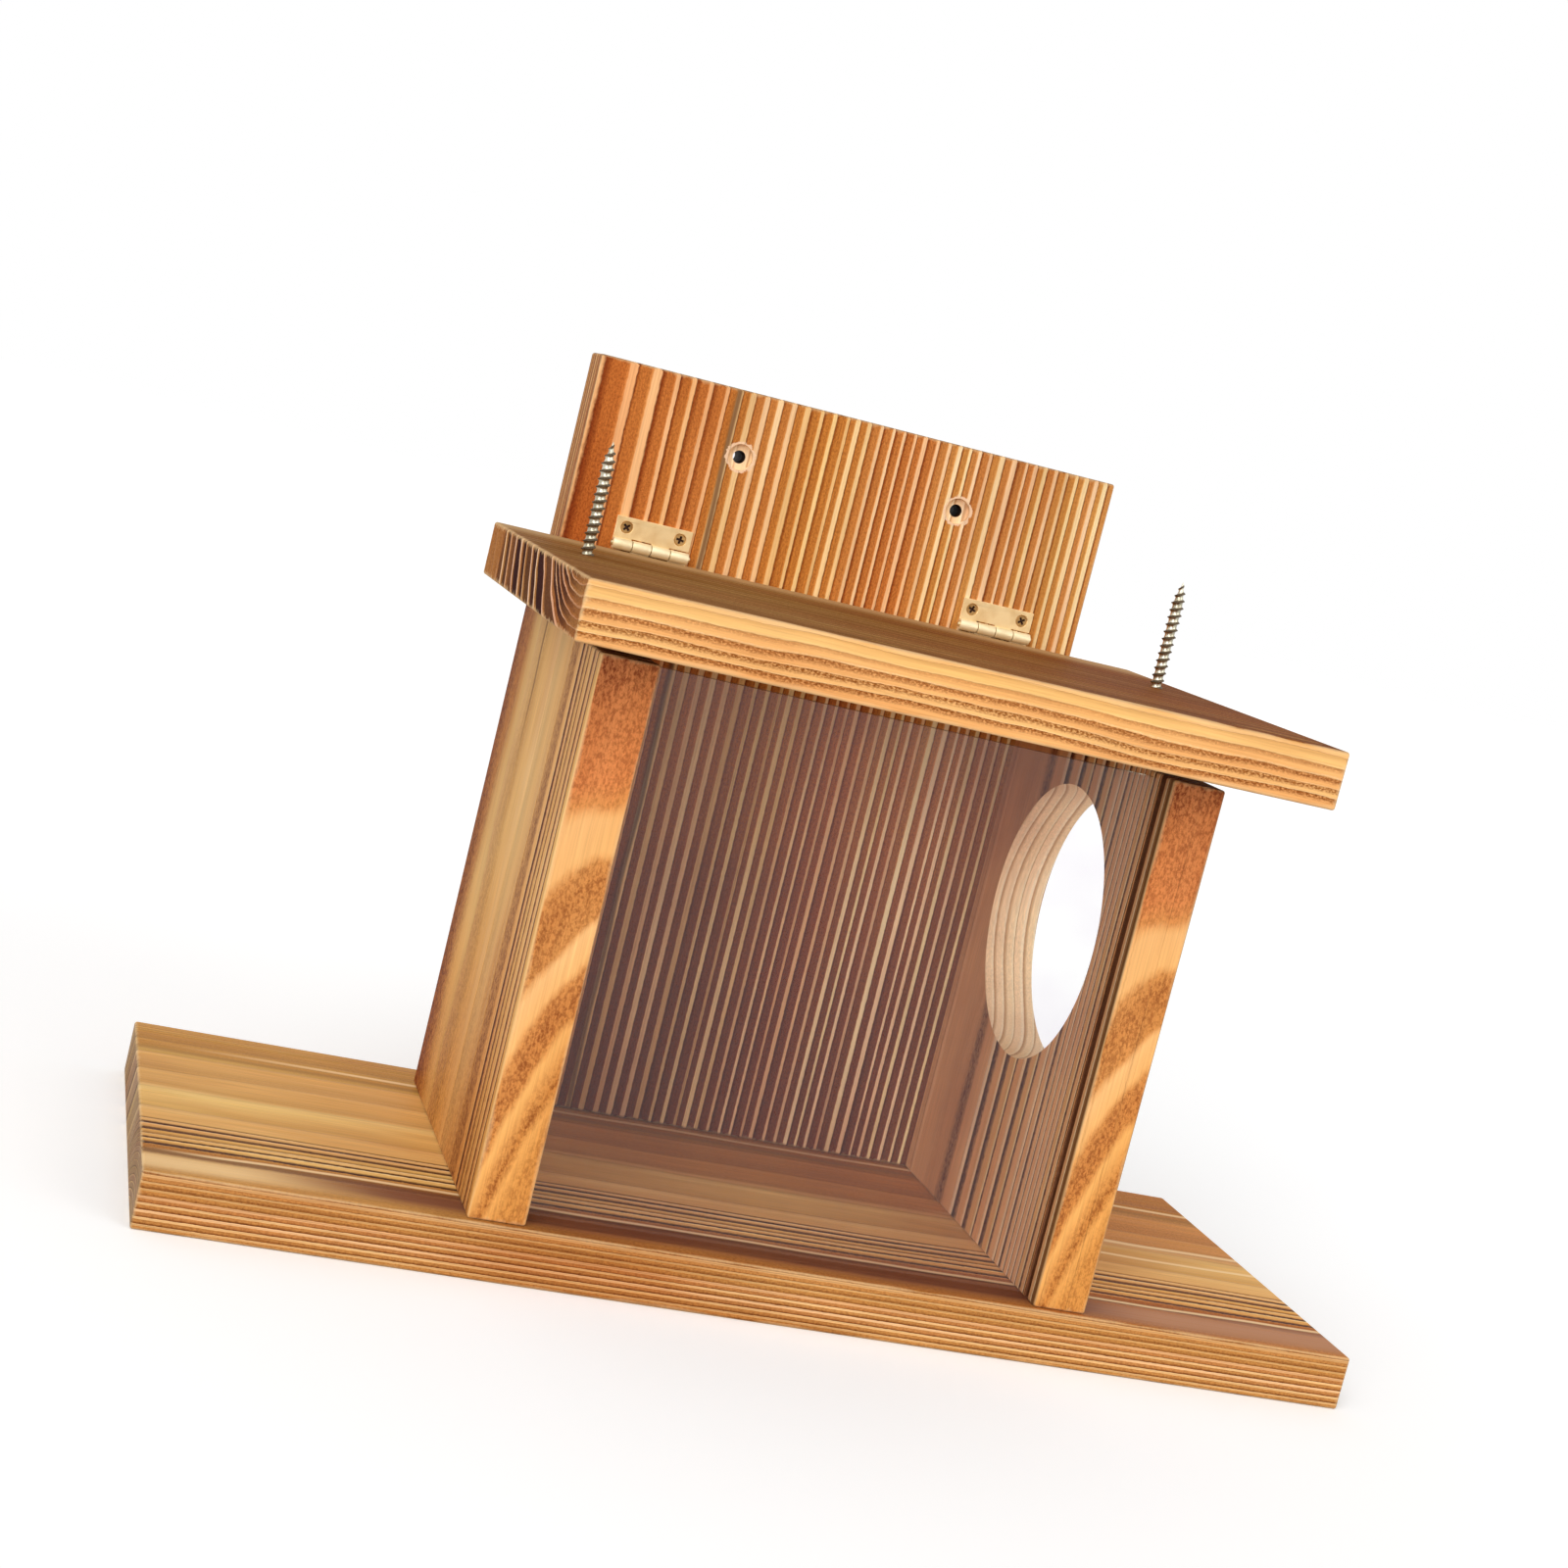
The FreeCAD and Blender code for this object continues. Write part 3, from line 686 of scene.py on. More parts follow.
@dataclass(frozen=True)
class PlatedMetal:
    """Stamped or rolled steel with a thin bright plating.

    The plating gives a warm or grey mirror, softened by fine rubbing, with duller smudges.
    """

    name: str
    colour: str
    smudge: str
    roughness: float
    metallic: float = 1.0
    rub_mm: float = 0.4
    smudge_mm: float = 5.0
    dent_mm: float = 0.02

    SMUDGED = {1: 0.42, 2: 0.7}

    # roughness of the smoothest and the most rubbed spots, as shares of the usual one
    SMOOTH = 0.8
    RUBBED = 1.3

    def material(self) -> bpy.types.Material:
        """Build the metal's material.

        Returns:
            The finished material.
        """
        material, add = new_material(self.name)
        place = add("TexCoord").outputs["Object"]
        smudges = add("TexNoise", {"Vector": place, "Scale": 1 / (self.smudge_mm * MM), "Detail": 4.0})
        mask = add("MapRange", {0: smudges, **self.SMUDGED})
        colour = add("MixRGB", {0: mask, 1: linear(self.colour), 2: linear(self.smudge)})
        rubbing = add("TexNoise", {"Vector": place, "Scale": 1 / (self.rub_mm * MM), "Detail": 3.0})
        sheen = {3: self.SMOOTH * self.roughness, 4: self.RUBBED * self.roughness}
        gloss = add("MapRange", {0: rubbing, **MOST_NOISE, **sheen})
        bump = add("Bump", {"Strength": 0.5, "Distance": self.dent_mm * MM, "Height": rubbing})
        shader = add("BsdfPrincipled", {
            "Base Color": colour, "Metallic": self.metallic, "Roughness": gloss, "Normal": bump,
        })
        add("OutputMaterial", {"Surface": shader})
        return material


@dataclass(frozen=True)
class DarkRecess:
    """Painted shade in the driving recess and on the thread: a dark brown, mottled with a darker smudge
    colour, where little light reaches.
    """

    name: str = "recess_painted_shade"
    colour: str = "#5a3016"
    smudge: str = "#2e1708"
    roughness: float = 0.6
    smudge_mm: float = 1.0
    grit_mm: float = 0.03

    # roughness of the smoothest and the grittiest spots, as shares of the usual one
    SMOOTH = 0.8
    GRITTY = 1.2

    def material(self) -> bpy.types.Material:
        """Build the recess's material.

        Returns:
            The finished material.
        """
        material, add = new_material(self.name)
        place = add("TexCoord").outputs["Object"]
        noise = add("TexNoise", {"Vector": place, "Scale": 1 / (self.smudge_mm * MM), "Detail": 2.0})
        colour = add("MixRGB", {0: noise, 1: linear(self.colour), 2: linear(self.smudge)})
        dull = add("MapRange", {0: noise, 3: self.SMOOTH * self.roughness, 4: self.GRITTY * self.roughness})
        bump = add("Bump", {"Strength": 0.5, "Distance": self.grit_mm * MM, "Height": noise})
        shader = add("BsdfPrincipled", {"Base Color": colour, "Roughness": dull, "Normal": bump})
        add("OutputMaterial", {"Surface": shader})
        return material


# fir that was sawn after torching, the dark walls of the bores, and painted shade in the pane's grooves
BARE = RingColours("#c0946a", "#f9dfbc", "#fbe4c4", "#fff0d6", dark_to=0.2)
DARK_BORE = RingColours("#160a04", "#24140a", "#2e1a0e", "#402616")
GROOVE_SHADE = RingColours("#4a2814", "#7a4c34", "#84563c", "#94664a")

SIDE_ENDS = RingColours("#5a3016", "#94643a", "#a87848", "#d8b084")
SIDE_EDGES = RingColours("#b3693a", "#bc703d", "#e0a35f", "#f3bd80")
EDGE_FLAME = Flame(
    face=Axis.Y, across=Axis.X, steep_mm=20.0, steep_slant=4.0, level_mm=125.0, level_slant=0.45,
    wobble_mm=6.5, wobble_length_mm=26.0,
    blotches=(
        (16.0, "#d8954c"), (28.0, "#e6a65c"), (36.0, "#c98441"), (44.0, "#dc9a54"), (54.0, "#ecb068"),
        (60.0, "#d28c4a"), (68.0, "#ca8446"), (75.0, "#d49050"), (80.0, "#efb675"), (89.0, "#f3bd80"),
        (93.0, "#d49252"), (106.0, "#cc884a"), (112.0, "#d69454"), (116.0, "#efb777"), (126.0, "#f0b87a"),
        (131.0, "#de9656"), (138.0, "#de8c52"), (158.0, "#d88850"), (170.0, "#c47a4a"),
    ),
)

BACK = FirFinish(
    name="torched_fir_back", grain=Axis.Z, pith_mm=(-100.0, 11.5, 0.0), ring_mm=3.3,
    faces={
        Axis.X: RingColours("#7e4c24", "#ac7440", "#c08a50", "#e4bc84"),
        Axis.Y: RingColours("#94501e", "#d39856", "#ecb876", "#ffecca", pale_from=0.64),
        Axis.Z: RingColours("#3e1a0a", "#5c341e", "#7b5337", "#dcb498", dark_to=0.3, pale_from=0.8),
    },
    tones=(
        # painted shade: the back's front face grows darker and more mauve inside the box, from under the lid
        # down towards the floor, and the pale ridges are spared
        Tone(
            Side.FRONT, Axis.Z, spare=1.0,
            zones=((60.0, "#a67a6e"), (100.0, "#bf9a8e"), (142.0, "#f2dcd2"), (174.0, "#ffffff")),
        ),
        Tone(Side.FRONT, Axis.X, ((-85.0, "#f2ceb0"), (-44.0, "#f4d4bc"), (-38.0, "#ffffff"))),
        Tone(
            Side.FRONT, Axis.X, spare=0.45,
            zones=((-44.0, "#ffffff"), (-38.0, "#f4dfcb"), (20.0, "#f8e6d4"), (46.0, "#ffffff")),
        ),
    ),
    wander_mm=(0.7, 0.7, 0.0), wander_length_mm=300.0, uneven_mm=3.0, uneven_span_mm=20.0, faintest=0.3,
    holes=TornHoles(apart_mm=72.0, height_mm=226.3, radius_mm=4.0, depth_mm=2.0, colour="#f2cba6"),
    streaks=(Streak(Axis.Y, Axis.X, -41.0, 1.4, 0.8, faint_mm=-1.0, full_mm=0.0, colour="#5a2c10"),),
)

LID = FirFinish(
    name="torched_fir_lid", grain=Axis.X, pith_mm=(0.0, -78.0, 238.0), ring_mm=8.2,
    shine=0.01, fray_mm=0.1, stipple=0.75, relief_mm=0.2, rim=0.7, rim_mm=1.2,
    years=(Years(46.0, 65.0, 4.4),),
    calms=(
        Calm(Axis.X, Axis.Y, low_mm=50.0, high_mm=90.0, soft_mm=8.0, share=0.95),
        Calm(Axis.X, Axis.Y, low_mm=-120.0, high_mm=-84.0, soft_mm=32.0, share=0.8),
        Calm(Axis.Y, Axis.Z, low_mm=187.0, high_mm=200.0, soft_mm=4.0, share=0.75),
    ),
    faces={
        Axis.X: RingColours("#3a140a", "#b4804a", "#c08e62", "#fad8c0", 0.48, dark_to=0.6, pale_from=0.8),
        Axis.Y: RingColours("#9a5e28", "#f0c284", "#f2c88e", "#f8d8a6", 0.12, dark_to=0.58, pale_from=0.86),
        Axis.Z: RingColours("#704c2c", "#926c40", "#a27e4c", "#b89664"),
    },
    tones=(Tone(Side.TOP, Axis.X, ((-40.0, "#ffffff"), (70.0, "#f4d6c4"))),),
    streaks=(
        Streak(
            Axis.Z, Axis.Y, 66.0, 28.0, 0.6, faint_mm=-181.0, full_mm=-180.0, colour="#c8a472", drift_mm=4.0
        ),
    ),
    wander_mm=(0.0, 2.6, 2.4), wander_length_mm=62.0, wander_width_mm=20.0, faintest=0.4,
)

BASE = FirFinish(
    name="torched_fir_base", grain=Axis.X, pith_mm=(0.0, -50.0, -60.0), ring_mm=1.9, redder="#faeee2",
    faces={
        Axis.X: RingColours("#6c5842", "#ac9278", "#b89c80", "#d4b892"),
        Axis.Y: RingColours("#7c4418", "#c88f56", "#e2b07a", "#fcd4a6", dark_to=0.24, pale_from=0.64),
        Axis.Z: RingColours("#543014", "#f6d69e", "#fadeac", "#fff0d0", 0.08, dark_to=0.36),
    },
    wander_mm=(0.0, 5.0, 0.5), wander_length_mm=200.0, wander_width_mm=60.0,
    years=(Years(78.0, 83.0, 2.0), Years(88.0, 150.0, -27.0)),
    calms=(Calm(Axis.Z, Axis.Y, low_mm=-5.0, high_mm=90.0, soft_mm=9.0, share=0.88),),
    tones=(
        Tone(
            Side.TOP, Axis.Y, drift_mm=4.0,
            zones=((-54.0, "#d8bc96"), (-45.0, "#f2dec2"), (-38.0, "#c8a478"), (-31.0, "#ccaa7e"),
                   (-29.0, "#fbecd8"), (2.0, "#fffaf0"), (22.0, "#fffcf4"), (24.0, "#ecdcc4"),
                   (58.0, "#eedec8"), (64.0, "#dcc0a0"), (86.0, "#e0c8ac")),
        ),
        Tone(
            Side.TOP, Axis.X, spare=0.8,
            zones=((-90.0, "#fffff4"), (-60.0, "#f4e0cc"), (90.0, "#f0d2b8"), (175.0, "#f4dac4")),
        ),
    ),
    streaks=tuple(
        Streak(Axis.Z, Axis.Y, place_mm, width_mm, strength, faint_mm, full_mm, colour)
        for place_mm, width_mm, strength, faint_mm, full_mm, colour in (
            (-44.5, 9.0, 0.7, -105.0, -155.0, "#f2d09a"),
            (-36.5, 4.0, 0.6, -90.0, -150.0, "#94683a"),
            (-43.5, 10.0, 0.95, -155.0, -105.0, "#7a4832"),
            (-43.5, 11.0, 0.7, 80.0, 120.0, "#cc946c"),
            (-34.5, 1.5, 0.75, -176.0, -150.0, "#ffdeaa"),
            (12.0, 1.6, 0.75, 60.0, 100.0, "#ffdeaa"),
            (25.0, 2.0, 0.75, 60.0, 100.0, "#ffdeaa"),
            (67.0, 1.8, 0.75, -176.0, -100.0, "#ffdeaa"),
            (61.5, 2.4, 0.5, -177.0, -176.0, "#9a6c3c"),
        )
    ),
)

LEFT_SIDE = FirFinish(
    name="torched_fir_left_side", grain=Axis.Z, pith_mm=(-130.0, 45.0, 0.0), ring_mm=15.0,
    faces={
        Axis.X: RingColours("#6a3c1a", "#e8c48c", "#eccc98", "#f6deb2", 0.14, dark_to=0.4),
        Axis.Y: SIDE_EDGES,
        Axis.Z: SIDE_ENDS,
    },
    flame=EDGE_FLAME, wander_mm=(2.5, 2.5, 0.0), wander_length_mm=90.0,
    years=(Years(82.0, 108.0, 3.6),), faintest=0.3, specks=0.9, speck_mm=0.8, redder="#faeee2",
    streaks=(
        Streak(
            Axis.X, Axis.Y, 28.0, 1.6, 0.7, faint_mm=118.0, full_mm=150.0, colour="#6a4424", drift_mm=40.0
        ),
    ),
    calms=(Calm(Axis.X, Axis.Y, low_mm=-18.0, high_mm=90.0, soft_mm=6.0, share=0.82),),
    tones=(
        # painted shadow: the outer face grows darker towards its foot
        Tone(Side.LEFT, Axis.Z, ((20.0, "#f2dcc0"), (110.0, "#ffffff"))),
        Tone(
            Side.LEFT, Axis.Y, drift_mm=5.0,
            zones=((-54.0, "#fff0e4"), (-24.0, "#f8e4d4"), (-18.0, "#e4ccb8"), (4.0, "#ffffff"),
                   (26.0, "#f4eed4"), (40.0, "#ffffff"), (58.0, "#f2dcb8"), (66.0, "#c49c74"),
                   (72.0, "#b08458")),
        ),
    ),
)

RIGHT_SIDE = FirFinish(
    name="torched_fir_right_side", grain=Axis.Z, pith_mm=(34.0, 45.0, 0.0), ring_mm=3.2,
    faces={
        Axis.X: RingColours("#6a3a20", "#e8b686", "#eec498", "#ffeacc", 0.05, dark_to=0.26, pale_from=0.76),
        Axis.Y: SIDE_EDGES,
        Axis.Z: SIDE_ENDS,
    },
    flame=EDGE_FLAME, wander_mm=(1.0, 1.0, 0.0), wander_length_mm=220.0,
    years=(Years(42.0, 76.0, -4.6),), faintest=0.2, specks=0.9, speck_mm=0.8, redder="#faeee2",
    calms=(Calm(Axis.X, Axis.Y, low_mm=42.0, high_mm=90.0, soft_mm=8.0, share=0.9),),
    tones=(Tone(Side.RIGHT, Axis.Z, ((20.0, "#f4e8c8"), (110.0, "#fcf6dc"))),),
    streaks=(
        # painted shade where the pane meets its groove: a dark line and a softer brown one near the front
        # edge, on both broad faces
        Streak(Axis.X, Axis.Y, -51.2, 1.8, 0.9, faint_mm=-1.0, full_mm=0.0, colour="#4e2a12", drift_mm=0.0),
        Streak(Axis.X, Axis.Y, -48.2, 2.6, 0.55, faint_mm=-1.0, full_mm=0.0, colour="#8c5c46", drift_mm=0.0),
    ),
)

FINISHES = {
    "back_board": BACK,
    "lid_board": LID,
    "base_board": BASE,
    "left_side_panel": LEFT_SIDE,
    "right_side_panel": RIGHT_SIDE,
}


def dress(node: str, *materials: bpy.types.Material) -> bpy.types.Object:
    """Give a CAD node its materials.

    Args:
        node: the node's name.
        materials: one for each slot, in order.

    Returns:
        The node's object.
    """
    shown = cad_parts[node]
    shown.data.materials.clear()
    for material in materials:
        shown.data.materials.append(material)
    log.info("dressed %s in %s", node, ", ".join(material.name for material in materials))
    return shown


def ease_edges(piece: bpy.types.Object, corner_mm: float, from_deg: float) -> None:
    """Round the sharp edges of a CAD node, so that they catch the light.

    Args:
        piece: the node's object.
        corner_mm: how far each edge is cut back.
        from_deg: the least turn between two faces that is rounded.
    """
    weld = piece.modifiers.new("join_faces", "WELD")
    weld.merge_threshold = WELD_MM * MM
    bevel = piece.modifiers.new("eased_edges", "BEVEL")
    bevel.width = corner_mm * MM
    bevel.segments = 2
    bevel.limit_method = "ANGLE"
    bevel.angle_limit = math.radians(from_deg)


def link_mesh(name: str, shape: bmesh.types.BMesh, *materials: bpy.types.Material) -> bpy.types.Object:
    """Turn a finished shape into an object of the scene.

    Args:
        name: the piece's name.
        shape: its shape, in metres in the row frame, which is freed.
        materials: one for each slot, in order.

    Returns:
        The new object.
    """
    bmesh.ops.remove_doubles(shape, verts=shape.verts, dist=MERGE_MM * MM)
    bmesh.ops.recalc_face_normals(shape, faces=shape.faces)
    mesh = bpy.data.meshes.new(name)
    shape.to_mesh(mesh)
    shape.free()
    for material in materials:
        mesh.materials.append(material)
    made = bpy.data.objects.new(name, mesh)
    bpy.context.scene.collection.objects.link(made)
    return made


def polar(radius: float, angle: float, height: float) -> Vector:
    """Return the point at an angle round the Z axis."""
    return Vector((radius * math.cos(angle), radius * math.sin(angle), height))


def turn_profile(
    shape: bmesh.types.BMesh, profile: Iterable[tuple[float, float]], sides: int, place: Matrix
) -> list[list[bmesh.types.BMVert]]:
    """Turn a profile round its axis, open at its start and closed at its end.

    Args:
        shape: the shape that it joins.
        profile: radius and height of each ring of corners.
        sides: how many corners a ring has.
        place: where the axis starts and points.

    Returns:
        The rings of corners, in order.
    """
    angles = [2 * math.pi * index / sides for index in range(sides)]
    rings = [
        [shape.verts.new(place @ polar(radius, angle, height)) for angle in angles]
        for radius, height in profile
    ]
    join_rings(shape, rings)
    shape.faces.new(rings[-1])
    return rings


def join_rings(
    shape: bmesh.types.BMesh, rings: Sequence[list[bmesh.types.BMVert]]
) -> list[bmesh.types.BMFace]:
    """Add the faces between each ring of corners and the next.

    Args:
        shape: the shape that they join.
        rings: rings with as many corners each, in order.

    Returns:
        The new faces.
    """
    faces = []
    for ring, following in zip(rings, rings[1:]):
        for index in range(len(ring)):
            after = (index + 1) % len(ring)
            faces.append(shape.faces.new((ring[index], ring[after], following[after], following[index])))
    return faces


@dataclass
class Boards:
    """The five fir boards, each cut from another part of the log."""

    entrance_radius_mm: float = 42.0
    entrance_y_mm: float = 12.5
    entrance_z_mm: float = 114.0
    pane_setback_mm: float = 5.0
    groove_width_mm: float = 3.4
    slack_mm: float = 0.15
    corner_mm: float = 0.5
    corner_from_deg: float = 60.0

    # slots after the torched one, and how much of a face's normal counts as looking along an axis
    SAWN_SLOT = 1
    DARK_SLOT = 2
    LOOKS_ALONG = 0.5
    GROOVED = ("left_side_panel", "right_side_panel")

    def build(self) -> None:
        """Dress every board, with bare wood where it was cut after torching, dark bores, and painted shade in
        the grooves.
        """
        for node, finish in FINISHES.items():
            low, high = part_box(node)
            dark = ("groove_painted_shade", GROOVE_SHADE) if node in self.GROOVED else ("dark_bore", DARK_BORE)
            cuts = [
                FirFinish(
                    name=f"{made}_{finish.name}", grain=finish.grain, pith_mm=finish.pith_mm,
                    ring_mm=finish.ring_mm, faces=dict.fromkeys(Axis, colours), relief_mm=0.15, specks=0.0,
                    rim=0.0, redder="#fff6ee", yellower="#fffaf0",
                )
                for made, colours in (("sawn", BARE), dark)
            ]
            board = dress(node, *(cut.material(low, high) for cut in (finish, *cuts)))
            if node in self.GROOVED:
                self._mark_grooves(node, board)
            elif finish.holes:
                self._mark_holes(finish.holes, low.y / MM, board)
            ease_edges(board, self.corner_mm, self.corner_from_deg)

    def _mark_grooves(self, node: str, board: bpy.types.Object) -> None:
        """Give a side panel's groove painted shade, and the way in bare wood.

        Args:
            node: the panel's name.
            board: its object.
        """
        low, high = (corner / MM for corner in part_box(node))
        groove_start = low.y + self.pane_setback_mm
        groove_end = groove_start + self.groove_width_mm
        for face in board.data.polygons:
            place = face.center / MM
            in_groove = groove_start - self.slack_mm < place.y < groove_end + self.slack_mm
            in_board = low.x + self.slack_mm < place.x < high.x - self.slack_mm
            if in_groove and in_board and abs(face.normal.z) < self.LOOKS_ALONG:
                # the groove's walls take painted shade
                face.material_index = self.DARK_SLOT
            away = math.hypot(place.y - self.entrance_y_mm, place.z - self.entrance_z_mm)
            in_hole = away < self.entrance_radius_mm + self.slack_mm
            if in_hole and abs(face.normal.x) < self.LOOKS_ALONG and node == "right_side_panel":
                face.material_index = self.SAWN_SLOT

    def _mark_holes(self, holes: TornHoles, front_mm: float, board: bpy.types.Object) -> None:
        """Give the holes' counterbores bare wood and their bores dark walls.

        Args:
            holes: the holes.
            front_mm: where the board's front face lies.
            board: the board's object.
        """
        for face in board.data.polygons:
            place = face.center / MM
            away = math.hypot(abs(place.x) - holes.apart_mm / 2, place.z - holes.height_mm)
            depth = place.y - front_mm
            if away < holes.radius_mm + self.slack_mm and depth > self.slack_mm:
                if depth < holes.depth_mm + self.slack_mm:
                    face.material_index = self.SAWN_SLOT
                elif abs(face.normal.y) < self.LOOKS_ALONG:
                    face.material_index = self.DARK_SLOT


@dataclass
class FrontPane:
    """Clear sheet in the grooves of the side panels."""

    finish: AcrylicFinish = AcrylicFinish()

    def build(self) -> None:
        """Dress the pane."""
        dress("front_pane", self.finish.material())


@dataclass
class Hinges:
    """The two butt hinges with their pins."""

    brass: PlatedMetal = PlatedMetal("brass_plated_steel", "#f6d9a4", "#e8c48c", roughness=0.42)
    # a paler, less metallic copy of the brass on the rolled knuckles is a painted highlight, which makes them
    # look creamier than the flat leaves
    painted_knuckle_highlight: PlatedMetal = PlatedMetal(
        "brass_plate_painted_highlight", "#f4e4bc", "#e6d2a4", roughness=0.48, metallic=0.45
    )
    pin_steel: PlatedMetal = PlatedMetal("bright_pin_steel", "#f4e6be", "#cdbb90", roughness=0.3)
    corner_mm: float = 0.14
    corner_from_deg: float = 40.0
    knuckle_mm: float = 1.75

    def build(self) -> None:
        """Dress the leaves and pins, and ease their edges so that they catch the light."""
        plates = (self.brass.material(), self.painted_knuckle_highlight.material())
        steel = self.pin_steel.material()
        for hand in HANDS:
            low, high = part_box(f"{hand}_hinge_pin")
            axis = (low + high) / 2 / MM
            dress(f"{hand}_hinge_pin", steel)
            for leaf in ("wall_leaf", "lid_leaf"):
                plate = dress(f"{hand}_hinge_{leaf}", *plates)
                for face in plate.data.polygons:
                    place = face.center / MM
                    away = math.hypot(place.y - axis.y, place.z - axis.z)
                    # the knuckles take the painted highlight copy of the brass
                    face.material_index = int(away < self.knuckle_mm)
                ease_edges(plate, self.corner_mm, self.corner_from_deg)


class Drive(Enum):
    """Which way a row of screws is driven, and along which axis its two screws lie."""

    TO_WALL = (Axis.Y, 1, Axis.X)
    TO_FRONT_ALONG = (Axis.Y, -1, Axis.X)
    TO_FRONT_UP = (Axis.Y, -1, Axis.Z)
    UP_DEEP = (Axis.Z, 1, Axis.Y)
    UP_ALONG = (Axis.Z, 1, Axis.X)


@dataclass(frozen=True)
class CrossRecess:
    """Cross-shaped driving recess in the flat end of a screw's head, narrower at its floor."""

    arm_share: float = 0.19
    reach_share: float = 0.68
    floor_share: float = 0.6

    DARK_SLOT = 1

    def sink(
        self, shape: bmesh.types.BMesh, rim: list[bmesh.types.BMVert], radius: float, depth: float,
        place: Matrix, turn_deg: float,
    ) -> None:
        """Sink the recess into a head, and close the flat end round it.

        Args:
            shape: the screw's shape.
            rim: the corners round the flat end.
            radius: the head's radius.
            depth: how deep the recess goes.
            place: where the screw starts and points.
            turn_deg: how far the recess is turned.
        """
        mouth = self._cross(shape, radius, 0.0, place, turn_deg)
        floor = self._cross(shape, radius * self.floor_share, depth, place, turn_deg)
        walls = join_rings(shape, (mouth, floor))
        walls.append(shape.faces.new(floor))
        edges = []
        for loop in (rim, mouth):
            for pair in zip(loop, loop[1:] + loop[:1]):
                edges.append(shape.edges.get(pair) or shape.edges.new(pair))
        bmesh.ops.triangle_fill(shape, use_beauty=True, edges=edges)
        # the recess's walls and floor take the painted shade
        for wall in walls:
            wall.material_index = self.DARK_SLOT

    def _cross(
        self, shape: bmesh.types.BMesh, radius: float, depth: float, place: Matrix, turn_deg: float
    ) -> list[bmesh.types.BMVert]:
        """Add the twelve corners of a cross.

        Args:
            shape: the shape that they join.
            radius: the radius that the cross's size is a share of.
            depth: how far along the screw it lies.
            place: where the screw starts and points.
            turn_deg: how far it is turned.

        Returns:
            The corners in order.
        """
        half = self.arm_share * radius
        reach = self.reach_share * radius
        corners = []
        for quarter in range(4):
            spin = Matrix.Rotation(math.radians(turn_deg + 90 * quarter), 4, "Z")
            for spot in ((reach, -half, depth), (reach, half, depth), (half, half, depth)):
                corners.append(shape.verts.new(place @ spin @ Vector(spot)))
        return corners


@dataclass
class ScrewPair:
    """Two countersunk cross-recess screws that share one node."""

    node: str
    body: str
    drive: Drive
    shank_share: float
    tip_mm: float
    turns: tuple[float, float]
    head_share: float = 0.95
    face_share: float = 0.9
    lip_share: float = 0.08
    point_share: float = 0.04
    recess_share: float = 0.55
    sides: int = 32
    sharp_deg: float = 35.0
    cross: CrossRecess = CrossRecess()

    def build(self, metal: bpy.types.Material, recess: bpy.types.Material, slot: str) -> None:
        """Build both screws in place of their CAD node.

        Args:
            metal: the screws' plating.
            recess: the painted shade of the driving recess.
            slot: not used.
        """
        low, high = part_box(self.node)
        axis, sense, row = self.drive.value
        spread = next(a for a in Axis if a not in (axis, row))
        radius = (high[spread.value] - low[spread.value]) / 2
        length = high[axis.value] - low[axis.value]
        aim = axis.scale(sense, 0.0).to_track_quat("Z", "Y").to_matrix().to_4x4()
        shape = bmesh.new()
        for end, turn in zip((low[row.value] + radius, high[row.value] - radius), self.turns):
            start = (low + high) / 2
            start[row.value] = end
            start[axis.value] = low[axis.value] if sense > 0 else high[axis.value]
            self._screw(shape, radius, length, Matrix.Translation(start) @ aim, turn)
        made = link_mesh(f"{self.node}_driven", shape, metal, recess)
        made.data.shade_smooth()
        made.data.set_sharp_from_angle(angle=math.radians(self.sharp_deg))
        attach(made, self.body)
        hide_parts(self.node)
        log.info("built %s", made.name)

    def _screw(
        self, shape: bmesh.types.BMesh, radius: float, length: float, place: Matrix, turn: float
    ) -> None:
        """Add one screw, with its head's face at the origin of its place.

        Args:
            shape: the shape that it joins.
            radius: the head's radius.
            length: from the head's face to the point.
            place: where the screw starts and points.
            turn: how far its recess is turned, in degrees.
        """
        head = radius * self.head_share
        shank = radius * self.shank_share
        lip = radius * self.lip_share
        profile = [
            (self.face_share * head, 0.0),
            (head, lip),
            (shank, lip + head - shank),
            (shank, length - self.tip_mm * MM),
            (self.point_share * shank, length),
        ]
        rings = turn_profile(shape, profile, self.sides, place)
        self.cross.sink(shape, rings[0], head, self.recess_share * radius, place, turn)


